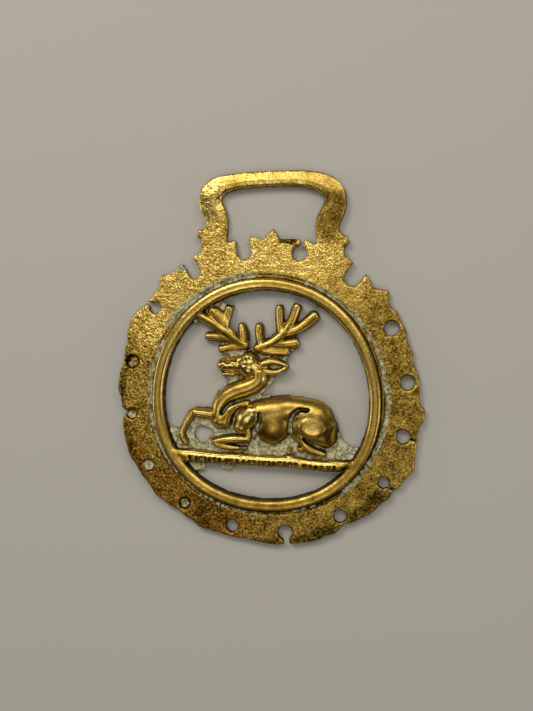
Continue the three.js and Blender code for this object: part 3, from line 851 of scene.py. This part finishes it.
@dataclass
class Casting:
    """The whole brass: a slab with the solid's plan, raised into its relief."""

    voxel: float = 0.19
    quick_voxel: float = 0.32
    slab: float = 0.8
    most_triangles: int = 196_000
    ring: Ring = field(default_factory=Ring)
    stag: Stag = field(default_factory=Stag)
    bar: GroundBar = field(default_factory=GroundBar)
    hanger: Hanger = field(default_factory=Hanger)
    clogged: tuple = (Hole(213.2, 33.8, 1.55, 0.9), Hole(235.4, 34.3, 1.75, 1.3),
                      Hole(258.4, 34.3, 1.55, 1.0), Hole(280.2, 34.9, 1.8, 0.9))
    # Where each form can lie: across the ring, or in y.
    figure_most: float = 0.6
    figure_low: float = -15.0
    bar_most: float = 1.1
    bar_band: tuple = (-19.0, -13.0)
    ring_foot: float = 0.95
    loop_low: float = 32.0
    lumps: tuple = (0.2, 0.1)
    edge_wear: float = 0.5
    edge_reach: float = 0.8
    ragged: float = 0.10
    rolling: float = 0.06
    grain: float = 0.11
    pits: float = 0.2
    figure_grain: float = 0.018
    skin: Skin | None = None

    def blank(self) -> Object:
        """Makes a fine flat slab with the plan of the solid, the loop and the bar.

        Returns:
            The slab, its back on the floor.
        """
        fused = bmesh.new()
        fused.from_mesh(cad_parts[NODE].data)
        bmesh.ops.remove_doubles(fused, verts=fused.verts, dist=1e-7)
        extras = (Strip("bar", self.bar.stations).build(),
                  Strip("hanger_loop", self.hanger.stations).build(),
                  Reeding(self.bar.cuts, self.bar.stations).build())
        for extra in extras:
            fused.from_mesh(extra.data)
            drop(extra)
        for corner in fused.verts:
            corner.co.z = min(max(corner.co.z, 0.0), self.slab * MM)
        mesh = bpy.data.meshes.new("blank")
        fused.to_mesh(mesh)
        fused.free()
        blank = link(bpy.data.objects.new("blank", mesh))
        remesh = blank.modifiers.new("fuse", "REMESH")
        remesh.mode = "VOXEL"
        remesh.voxel_size = self.voxel * MM
        out = evaluated_mesh(blank, "casting")
        drop(blank)
        return link(bpy.data.objects.new("casting", out))

    def grounds(self, at: Array, edge: Array, across: Array) -> Array:
        """Heights of the flat grounds under the mouldings and the figure.

        Args:
            at: places in mm.
            edge: distance of each from the outline.
            across: place of each across the ring's moulding.

        Returns:
            Heights in mm.
        """
        lumpy = LatticeNoise(31).layers(at, 1.1)
        crumbly = LatticeNoise(32).layers(at, 0.5, 2)
        web = Level.WEB.value + self.lumps[0] * lumpy + self.lumps[1] * crumbly
        worn = 1.0 - np.clip(edge / self.edge_reach, 0.0, 1.0)
        plate = Level.RIM.value - self.edge_wear * worn**2.2
        inside = across < 0.5
        ground = np.where(inside, web, plate)
        for hole in self.clogged:
            ground = smooth_min(ground, hole.height(at) + 0.12 * lumpy, 0.2)
        return ground

    def heights(self, at: Array, edge: Array) -> Array:
        """Heights of the front at places, with the distance of each from the outline."""
        across = self.ring.place(at)
        ground = self.grounds(at, edge, across)
        top = ground.copy()
        figure = (across < self.figure_most) & (at[:, 1] > self.figure_low)
        top[figure] = self.stag.heights(at[figure], ground[figure])
        low, high = self.bar_band
        near_bar = (across < self.bar_most) & (at[:, 1] > low) & (at[:, 1] < high)
        top[near_bar] = smooth_max(top[near_bar], self.bar.height(at[near_bar]), 0.3)
        moulding = self.ring.section.at(across)
        foot = across > self.ring_foot
        top = np.where(foot & (moulding > 0.0), np.minimum(top, moulding), top)
        top = np.where(~foot, smooth_max(top, moulding, 0.25), top)
        upper = at[:, 1] > self.loop_low
        top[upper] = smooth_max(top[upper], self.hanger.height(at[upper]), 0.35)
        return top

    def shape(self) -> None:
        """Raises the slab's front into the relief; the back stays flat."""
        skin = self.skin
        skin.relax(3, np.ones(len(skin.at)))
        up = skin.normals()[:, 2]
        wall = (up < 0.5) & (skin.at[:, 2] > 0.2 * self.slab)
        edge = skin.blurred(skin.away_from(wall, 1.4), 2)
        level = np.clip(skin.at[:, 2] / (self.slab - 0.03), 0.0, 1.0)
        plan = skin.at * (1.0, 1.0, 0.0)
        ragged = np.column_stack([
            self.ragged * LatticeNoise(seed).layers(plan, 1.3, 2) for seed in (41, 42)])
        loop = smooth_step(38.0, 42.0, plan[:, 1])
        skin.at[:, :2] += ragged * (1.0 - 0.75 * loop)[:, None]
        plan = skin.at * (1.0, 1.0, 0.0)
        skin.at[:, 2] = level * self.heights(plan, edge)
        skin.relax(2, level)
        skin.at[:, 2] = np.maximum(skin.at[:, 2], 0.0)

    def weather(self) -> None:
        """Roughens the surface as sand casting and wear do."""
        skin = self.skin
        at = skin.at
        up = smooth_step(0.2, 0.7, skin.normals()[:, 2]) * (at[:, 2] > 0.5)
        across = self.ring.place(at)
        plate = smooth_step(1.05, 1.3, across)
        coarse = LatticeNoise(3).layers(at, 0.8)
        rolling = LatticeNoise(4).layers(at, 5.0, 2)
        pits = np.clip(LatticeNoise(8).layers(at, 0.7) - 0.45, 0.0, 1.0)
        loop = smooth_step(*LOOP_FOOT, at[:, 1])
        grain = 0.45 + 0.55 * bearing_window(at, 285.0, 350.0, 20.0)
        strength = plate * (1.0 - 0.75 * loop)
        skin.at[:, 2] += up * strength * (
            self.rolling * rolling + self.grain * grain * coarse - self.pits * pits)
        skin.at[:, 2] += up * (1.0 - strength) * self.figure_grain * coarse

    def build(self) -> Object:
        """Makes the casting's mesh.

        Returns:
            The finished, undecorated object.
        """
        blank = self.blank()
        self.skin = Skin(blank.data)
        LOG.info("casting blank: %d vertices", len(self.skin.at))
        self.shape()
        self.weather()
        self.skin.write()
        thin = blank.modifiers.new("thin", "DECIMATE")
        triangles = 2 * len(blank.data.polygons)
        thin.ratio = min(1.0, self.most_triangles / triangles)
        mesh = evaluated_mesh(blank, NODE + "_casting")
        drop(blank)
        piece = link(bpy.data.objects.new(NODE + "_casting", mesh))
        mesh.polygons.foreach_set("use_smooth", np.ones(len(mesh.polygons), bool))
        self.skin = Skin(mesh)
        return piece


# ---- surface


@dataclass(frozen=True)
class Patch:
    """A part of the rim, by bearing and radius, with how strongly something shows there."""

    start: float
    end: float
    inner: float
    outer: float
    amount: float
    edge: float = 12.0
    rim: float = 0.7

    def at(self, points: Array) -> Array:
        """Strength of the patch at points."""
        radius = np.hypot(points[:, 0], points[:, 1])
        return (self.amount * bearing_window(points, self.start, self.end, self.edge)
                * window(radius, self.inner, self.outer, self.rim))


@dataclass(frozen=True)
class Spot:
    """An oval place on the brass, with how strongly something shows there."""

    x: float
    y: float
    wide: float
    high: float
    amount: float

    def at(self, points: Array) -> Array:
        """Strength of the spot at points."""
        away = np.hypot((points[:, 0] - self.x) / self.wide, (points[:, 1] - self.y) / self.high)
        return self.amount * (1.0 - smooth_step(0.5, 1.2, away))


@dataclass(frozen=True)
class Weathering:
    """Where the brass is worn, tarnished, grainy or crusted, and where painted highlights, painted shade and
    a painted reflection lie on it.
    """

    crusts: tuple = (
        Patch(18, 84, 29.2, 30.2, 0.62, rim=0.35),
        Patch(84, 134, 29.9, 30.8, 0.72, rim=0.35),
        Patch(306, 347, 29.7, 30.9, 0.85, rim=0.4),
        Patch(236, 290, 29.0, 29.7, 0.78, rim=0.35),
        Patch(347, 18, 29.9, 30.2, 0.3, rim=0.3),
        Patch(134, 236, 29.2, 29.7, 0.5, rim=0.3),
        Spot(-23.2, 30.0, 1.6, 0.8, 0.8), Spot(-8.2, 34.6, 1.0, 0.6, 0.8),
        Spot(-18.9, -28.6, 1.6, 1.5, 0.75), Spot(-28.6, -19.6, 1.7, 1.6, 0.85),
        Spot(-33.9, -7.4, 1.4, 1.3, 0.8), Spot(-34.6, 5.6, 1.3, 0.9, 0.55),
        Spot(8.0, -3.2, 1.6, 0.7, 0.85), Spot(6.8, -7.0, 0.8, 3.4, 0.85),
        Spot(-1.4, -7.6, 0.6, 3.0, 0.85),
    )
    # Painted shade: these darken the rim to the right and below, the ring's lower right, the loop's right
    # leg, the rump, the belly and the ground round the antlers; one small patch darkens a place where the
    # loop meets the rim.
    tarnish_and_shade_marks: tuple = (
        Patch(52, 192, 30.0, 42.0, 0.42, 22.0, 1.0),
        Patch(128, 172, 36.0, 42.0, 0.35, 10.0, 1.0),
        Patch(205, 284, 30.0, 42.0, 0.38, 12.0, 1.0),
        Patch(240, 292, 36.0, 42.0, 0.3, 10.0, 1.0),
        Patch(1.5, 6.5, 38.2, 39.8, 1.2, 1.5, 0.3),
        Spot(13.6, 45.5, 5.0, 7.5, 0.5), Patch(110, 200, 25.5, 29.3, 0.35),
        Spot(17.2, -7.5, 2.8, 6.0, 0.7), Spot(2.8, -8.6, 5.0, 4.0, 0.45),
        Spot(-11.0, 13.6, 5.5, 2.6, 0.35), Spot(4.8, 12.2, 4.0, 1.8, 0.4),
    )
    # Painted reflection: a brown-orange tint on the rim's lower left, the belly and the hind leg, standing
    # for brown surroundings mirrored in the brass.
    painted_warm_reflection: tuple = (
        Patch(190, 228, 30.0, 38.0, 0.5, 12.0, 1.0),
        Patch(235, 250, 34.0, 38.0, 0.5, 6.0, 1.0),
        Spot(1.0, -9.5, 3.0, 2.0, 0.5), Spot(12.0, -12.5, 4.0, 1.2, 0.4),
    )
    # Painted highlights: these lighten the rim at the top and upper left, the ring's upper left, the loop's
    # left leg and top bar, the head, the shoulder and the top of the ground bar; the haunch disc is partly
    # real wear.
    painted_highlight_and_wear: tuple = (
        Patch(288, 302, 30.5, 40.0, 0.3, 8.0, 1.0),
        Patch(313, 345, 31.0, 40.0, 0.15, 8.0, 1.0),
        Patch(345, 20, 31.0, 40.0, 0.35, 8.0, 1.0), Patch(290, 345, 25.5, 29.3, 0.3),
        Spot(-17.0, 47.5, 4.5, 6.5, 0.8), Spot(-6.5, 7.6, 6.0, 3.2, 0.7),
        Spot(-4.2, -4.8, 3.4, 3.2, 0.75), Spot(0.0, -15.2, 23.0, 1.3, 0.6), Spot(-4.0, 54.2, 15.0, 2.5, 0.3),
        Spot(12.2, -6.8, 3.4, 2.4, 0.45),
    )
    grains: tuple = (
        Patch(285, 350, 30.0, 42.0, 0.55, 14.0, 0.8),
        Patch(350, 25, 35.5, 42.0, 0.4, 8.0, 1.0),
        Patch(180, 285, 30.0, 42.0, 0.2, 14.0, 0.8),
    )

    # Depths and heights in mm over which a recess, a crest and a steep side come in.
    recess: tuple = (0.12, 0.55)
    crest: tuple = (0.03, 0.3)
    steep: tuple = (0.3, 0.62)
    surroundings: int = 24
    web_crust: float = 0.95
    recess_crust: tuple = (0.7, 0.3)
    mottle_size: float = 1.6
    plain_grain: float = 0.45
    least_grain: float = 0.22

    def paint(self, skin: Skin, ring: Ring) -> None:
        """Stores what the material reads, one number for each vertex.

        Args:
            skin: the finished casting.
            ring: the moulding, which parts the figure from the rim.
        """
        at = skin.at
        up = skin.normals()[:, 2]
        hollow = skin.blurred(at[:, 2], self.surroundings) - at[:, 2]
        recess = smooth_step(*self.recess, hollow)
        crest = smooth_step(*self.crest, -hollow)
        # Steepness; below, it also darkens every steep wall as painted shade.
        side = 1.0 - smooth_step(*self.steep, up)
        across = ring.place(at)
        inside = across < 0.02
        plate = smooth_step(1.1, 1.3, across)
        loop = smooth_step(*LOOP_FOOT, at[:, 1])
        mottle = LatticeNoise(21).layers(at, self.mottle_size)
        web = inside & (at[:, 2] < 1.8) & (up > 0.5)
        crust = np.where(web, self.web_crust, 0.0)
        for patch in self.crusts:
            crust = np.maximum(crust, patch.at(at))
        crust = np.maximum(crust, np.where(inside, *self.recess_crust) * recess)
        crust = skin.blurred(crust * (1.0 - side), 1)
        store(skin.mesh, "crust", np.clip(crust + 0.16 * mottle * (crust > 0.05), 0.0, 1.0))
        # Painted shade: the ring's inner wall and the foot outside it are darkened as if in shadow.
        foot = window(across, 0.97, 1.06, 0.05) + window(across, -0.2, 0.03, 0.04)
        # Tarnish and painted shade together: the recess and mottle terms are tarnish; the patches, the steep
        # sides (0.7 * side) and the ring's feet are painted shade.
        tarnish_and_shade = (sum(patch.at(at) for patch in self.tarnish_and_shade_marks) + 0.35 * recess + 0.12 * mottle
                 + 0.7 * side + 0.5 * foot)
        store(skin.mesh, "tarnish_and_shade", np.clip(tarnish_and_shade, 0.0, 1.3))
        # The painted reflection tint, stored for the material.
        store(skin.mesh, "painted_warm_reflection", np.clip(sum(place.at(at) for place in self.painted_warm_reflection), 0.0, 1.0))
        # Painted highlights from the patches, plus real wear on the crests; stored under the name worn.
        painted_highlight_and_wear = sum(patch.at(at) for patch in self.painted_highlight_and_wear) + 0.55 * crest
        store(skin.mesh, "worn", np.clip(painted_highlight_and_wear, 0.0, 1.0))
        grainy = self.plain_grain + sum(patch.at(at) for patch in self.grains)
        grainy = plate * grainy * (1.0 - 0.6 * loop)
        store(skin.mesh, "grainy", np.clip(grainy + self.least_grain, 0.0, 1.0))


# ---- crumbs of verdigris


@dataclass
class Crumbs:
    """Crumbs of verdigris and old polish lodged in the recesses."""

    density: float = 2.4e6
    smallest: float = 0.1
    largest: float = 0.26
    least_crust: float = 0.62
    flattest: tuple = (0.6, 0.6, 0.35)
    roundest: tuple = (1.3, 1.3, 0.75)
    seed: int = 11

    def tree(self, sizes: dict[str, float | int]) -> NodeTree:
        """Builds the tree that scatters crumbs where the crust is thick."""
        tree, given = new_tree("verdigris_crumbs", sizes)
        add, seed = partial(wire, tree), given["Seed"]
        thick = add("FunctionNodeCompare",
                    {0: named_value(tree, "crust"), 1: given["Least Crust"]},
                    data_type="FLOAT", operation="GREATER_THAN")
        points = add("GeometryNodeDistributePointsOnFaces",
                     {"Mesh": given["Geometry"], "Selection": thick,
                      "Density": given["Density"], "Seed": seed})
        ball = add("GeometryNodeMeshIcoSphere", {"Radius": 1.0, "Subdivisions": 1})
        size = add("FunctionNodeRandomValue",
                   {2: given["Smallest"], 3: given["Largest"], "Seed": seed}, 1,
                   data_type="FLOAT")
        shape, spin = (add("FunctionNodeRandomValue", {0: least, 1: most, "Seed": seed},
                           data_type="FLOAT_VECTOR")
                       for least, most in ((self.flattest, self.roundest),
                                           ((-0.4, -0.4, 0.0), (0.4, 0.4, 6.28))))
        scale = add("ShaderNodeVectorMath", {0: shape, "Scale": size}, operation="SCALE")
        crumbs = add("GeometryNodeInstanceOnPoints",
                     {"Points": points, "Instance": ball, "Rotation": spin, "Scale": scale})
        return end_tree(tree, given, crumbs)

    def build(self, casting: Object,
              material: Material) -> Object:
        """Scatters the crumbs over the casting.

        Args:
            casting: the finished casting, with its crust stored.
            material: the crumbs' material.

        Returns:
            The crumbs as one plain mesh object.
        """
        surface = link(bpy.data.objects.new("crumb_ground", casting.data.copy()))
        sizes = {"Density": self.density, "Smallest": self.smallest * MM,
                 "Largest": self.largest * MM, "Least Crust": self.least_crust,
                 "Seed": self.seed}
        return grown(surface, self.tree(sizes), "verdigris_crumbs",
                     {**sizes, "Material": material})


# ---- finishes


def linear(colour: str) -> tuple[float, float, float, float]:
    """Turns an sRGB hex colour to linear red, green, blue and alpha."""
    parts = [int(colour[i:i + 2], 16) / 255.0 for i in (1, 3, 5)]
    return (*[p / 12.92 if p <= 0.04045 else ((p + 0.055) / 1.055) ** 2.4 for p in parts], 1.0)


class Matt(Enum):
    """Roughness of the surfaces that have no gloss."""

    CRUST = 0.92
    BOARD = 0.9


def per_mm(size: float) -> float:
    """Scale of a texture whose features are that many mm wide."""
    return 1.0 / (size * MM)


def new_material(name: str) -> tuple[Material, NodeTree, Node]:
    """Starts a material with a shader and its output."""
    material = bpy.data.materials.new(name)
    material.use_nodes = True
    tree = material.node_tree
    tree.nodes.clear()
    shader = add_node(tree, "ShaderNodeBsdfPrincipled")
    add_node(tree, "ShaderNodeOutputMaterial", {"Surface": shader.outputs[0]})
    return material, tree, shader


def ramp(tree: NodeTree, value: NodeSocket,
         stops: tuple) -> NodeSocket:
    """Turns a value to a colour by a row of stops, each a place and an sRGB colour.

    Args:
        tree: the tree that gets the node.
        value: the value to turn.
        stops: places from 0 to 1 with their colours.

    Returns:
        The colour's socket.
    """
    node = add_node(tree, "ShaderNodeValToRGB", {"Fac": value})
    elements = node.color_ramp.elements
    while len(elements) < len(stops):
        elements.new(0.5)
    for element, (place, colour) in zip(elements, stops):
        element.position = place
        element.color = linear(colour)
    return node.outputs[0]


@dataclass(frozen=True)
class AgedBrass:
    """Sand-cast yellow brass, once polished and then left.

    Casting in sand leaves a pitted grain, use has worn the high spots to a soft golden gloss,
    and air has turned the rest olive-brown; the tone also carries painted highlights, painted
    shade and a painted reflection. Verdigris fills the recesses as a dull pale
    grey-green crust with dark specks, and it breaks up at its edges.
    """

    metal: tuple = ((0.0, "#F2D67E"), (0.3, "#DCB85C"), (0.55, "#B2913F"), (0.8, "#6D5820"),
                    (1.0, "#30260B"))
    crust: tuple = ((0.3, "#1F1C0E"), (0.4, "#5E5834"), (0.48, "#98946A"), (0.58, "#BDB98E"),
                    (0.72, "#E8E0B8"))
    # Colour of the painted reflection of brown surroundings.
    painted_warm_reflection: str = "#C08A4A"
    worn_gloss: float = 0.24
    tarnish_gloss: float = 0.52
    grain: float = 0.55
    blotch: float = 2.6
    crumb: float = 1.0
    bump: float = 0.3
    plain_tone: float = 0.4
    tones: tuple = (0.62, -0.42, 0.8, -1.9)
    thin_pale: float = 0.34
    thick_pale: float = 0.34
    blotch_pale: float = 0.6
    crumb_pale: float = 1.2
    crumbling: float = 1.3
    crust_edge: tuple = (0.42, 0.58)

    def material(self) -> Material:
        """Builds the material."""
        material, tree, shader = new_material("aged_cast_brass")
        add = partial(wire, tree)
        where = add("ShaderNodeTexCoord", output="Object")
        # The worn value holds real wear and painted highlights, the tarnish value holds tarnish and painted
        # shade, and the tint value holds a painted reflection.
        crust, tarnish_and_shade, painted_warm_reflection, worn, grainy = (
            add("ShaderNodeAttribute", output="Fac", attribute_name=name)
            for name in ("crust", "tarnish_and_shade", "painted_warm_reflection", "worn", "grainy"))

        def noise(size: float, detail: float) -> NodeSocket:
            """Noise from -0.5 to 0.5 with lumps of a size in mm."""
            fog = add("ShaderNodeTexNoise", {
                "Vector": where, "Scale": per_mm(size), "Detail": detail, "Roughness": 0.6})
            return add("ShaderNodeMath", {0: fog, 1: 0.5}, operation="SUBTRACT")

        def mixed(value: object, gain: object, rest: object) -> NodeSocket:
            """Value times gain plus the rest."""
            return add("ShaderNodeMath", {0: value, 1: gain, 2: rest},
                       operation="MULTIPLY_ADD")

        blotch, grain, crumb = noise(self.blotch, 4.0), noise(self.grain, 2.0), noise(self.crumb, 3.0)
        # Tone: tarnish and painted shade darken, wear and painted highlights lighten, blotches and the cast
        # grain break it up.
        speckle = mixed(grain, grainy, 0.0)
        tone = self.plain_tone
        for cause, gain in zip((tarnish_and_shade, worn, blotch, speckle), self.tones):
            tone = mixed(cause, gain, tone)
        # A painted reflection tints the metal brown-orange where its stored value is high.
        reflection_tinted = add("ShaderNodeMix",
                     {"Factor": painted_warm_reflection, 6: ramp(tree, tone, self.metal), 7: linear(self.painted_warm_reflection)}, 2,
                     data_type="RGBA", blend_type="MULTIPLY")
        # The crust is paler where it is thick, and its edge crumbles along the fine lumps.
        depth = mixed(crust, self.thick_pale, mixed(blotch, self.blotch_pale, self.thin_pale))
        chalk = ramp(tree, mixed(crumb, self.crumb_pale, depth), self.crust)
        low, high = self.crust_edge
        crusted = add("ShaderNodeMapRange", {
            "Value": mixed(crumb, self.crumbling, crust), "From Min": low, "From Max": high})
        colour = add("ShaderNodeMix", {"Factor": crusted, 6: reflection_tinted, 7: chalk}, 2,
                     data_type="RGBA")
        gloss = add("ShaderNodeMapRange", {
            "Value": tone, "To Min": self.worn_gloss, "To Max": self.tarnish_gloss})
        rough = add("ShaderNodeMix", {"Factor": crusted, 2: gloss, 3: Matt.CRUST.value},
                    data_type="FLOAT")
        relief = add("ShaderNodeBump", {
            "Strength": 0.9, "Distance": self.bump * MM,
            "Height": mixed(crumb, crusted, speckle)})
        for socket, value in (("Base Color", colour), ("Roughness", rough),
                              ("Metallic", mixed(crusted, -1.0, 1.0)), ("Normal", relief)):
            tree.links.new(value, shader.inputs[socket])
        return material


@dataclass(frozen=True)
class Verdigris:
    """Copper salts and dried polish: a soft, dull, crumbly crust."""

    colours: tuple = ((0.3, "#4C4728"), (0.45, "#88845C"), (0.58, "#BDB88C"), (0.7, "#E2D9AE"))
    blotch: float = 0.7

    def material(self) -> Material:
        """Builds the material."""
        material, tree, shader = new_material("verdigris_crust")
        where = wire(tree, "ShaderNodeTexCoord", output="Object")
        blotch = wire(tree, "ShaderNodeTexNoise", {
            "Vector": where, "Scale": per_mm(self.blotch), "Detail": 3.0})
        tree.links.new(ramp(tree, blotch, self.colours), shader.inputs["Base Color"])
        shader.inputs["Roughness"].default_value = Matt.CRUST.value
        return material


@dataclass(frozen=True)
class PaleFloor:
    """Matt painted board, which throws soft light back without a gloss."""

    colour: str = "#CFCBC3"

    def material(self) -> Material:
        """Builds the material."""
        material, _, shader = new_material("matt_pale_board")
        shader.inputs["Base Color"].default_value = linear(self.colour)
        shader.inputs["Roughness"].default_value = Matt.BOARD.value
        return material


# ---- studio


@dataclass(frozen=True)
class SoftBox:
    """A soft light, by its angle from straight above, its bearing, its size and its power."""

    name: str
    lean: float
    bearing: float
    size: float
    power: float
    colour: str = "#FFFBF2"

    def hang(self, distance: float) -> None:
        """Hangs the box at a distance, facing the brass."""
        lamp = bpy.data.lights.new(self.name, "AREA")
        lamp.shape = "DISK"
        lamp.size = self.size
        lamp.energy = self.power
        lamp.color = linear(self.colour)[:3]
        lean, bearing = math.radians(self.lean), math.radians(self.bearing)
        way = Vector((math.sin(lean) * math.sin(bearing), math.sin(lean) * math.cos(bearing),
                      math.cos(lean)))
        box = link(bpy.data.objects.new(self.name, lamp))
        box.location = way * distance
        box.rotation_euler = (-way).to_track_quat("-Z", "Y").to_euler()


@dataclass
class Studio:
    """The floor, the light and the camera that looks down on the lying brass."""

    floor_size: float = 3.0
    distance: float = 0.247
    lens: float = 50.0
    side_turn: float = 7.0
    roll: float = 4.0
    aim_rise: float = 10.0
    light_distance: float = 0.6
    room: str = "#B8B4AC"
    room_light: float = 0.06
    boxes: tuple = (
        SoftBox("window_left", 44, 322, 0.22, 0.95),
        SoftBox("window_right", 46, 35, 0.34, 0.5),
        SoftBox("over_loop", 26, 0, 0.34, 0.5),
        SoftBox("over_foot", 25, 180, 0.34, 0.5),
        SoftBox("low_left", 72, 270, 0.34, 0.45),
        SoftBox("low_right", 72, 98, 0.34, 0.5))

    def floor(self) -> Object:
        """Lays the floor."""
        half = self.floor_size / 2.0
        corners = [(-half, -half, 0.0), (half, -half, 0.0), (half, half, 0.0), (-half, half, 0.0)]
        floor = mesh_object("floor", np.array(corners), [], [(0, 1, 2, 3)])
        floor.data.materials.append(PaleFloor().material())
        return floor

    def surroundings(self) -> None:
        """Sets a dim, even room behind the soft boxes."""
        world = bpy.data.worlds.new("dim_room")
        bpy.context.scene.world = world
        world.use_nodes = True
        tree = world.node_tree
        tree.nodes.clear()
        glow = wire(tree, "ShaderNodeBackground",
                    {"Color": linear(self.room), "Strength": self.room_light})
        add_node(tree, "ShaderNodeOutputWorld", {"Surface": glow})
        bpy.context.scene.view_settings.view_transform = "Standard"

    def camera(self) -> None:
        """Sets the camera a little to the right, with the brass turned in its view."""
        roll = math.radians(self.roll)
        turn = math.radians(self.side_turn)
        up = Vector((-math.sin(roll), math.cos(roll), 0.0))
        right = Vector((math.cos(roll), math.sin(roll), 0.0))
        aim = Vector(CENTRE * MM) + up * self.aim_rise * MM
        back = right * math.sin(turn) + Vector((0.0, 0.0, math.cos(turn)))
        side = up.cross(back).normalized()
        head = back.cross(side)
        camera = link(bpy.data.objects.new("camera", bpy.data.cameras.new("camera")))
        camera.data.lens = self.lens
        camera.data.clip_start = 0.01
        place = aim + back * self.distance
        camera.matrix_world = Matrix.Translation(place) @ Matrix(
            (side, head, back)).transposed().to_4x4()
        bpy.context.scene.camera = camera

    def build(self) -> Object:
        """Sets up the whole studio.

        Returns:
            The floor.
        """
        self.camera()
        self.surroundings()
        for box in self.boxes:
            box.hang(self.light_distance)
        return self.floor()


# ---- the whole


def main() -> None:
    """Builds the brass and its surroundings."""
    logging.basicConfig(level=logging.INFO, format="%(message)s", force=True)
    Studio().build()
    casting = Casting()
    piece = casting.build()
    Weathering().paint(casting.skin, casting.ring)
    piece.data.materials.clear()
    piece.data.materials.append(AgedBrass().material())
    crumbs = Crumbs().build(piece, Verdigris().material())
    for made in (piece, crumbs):
        made.data.polygons.foreach_set("use_smooth", np.ones(len(made.data.polygons), bool))
        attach(made, "root")
        LOG.info("%s: %d faces", made.name, len(made.data.polygons))
    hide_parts(NODE)


if __name__ == "__main__":
    main()
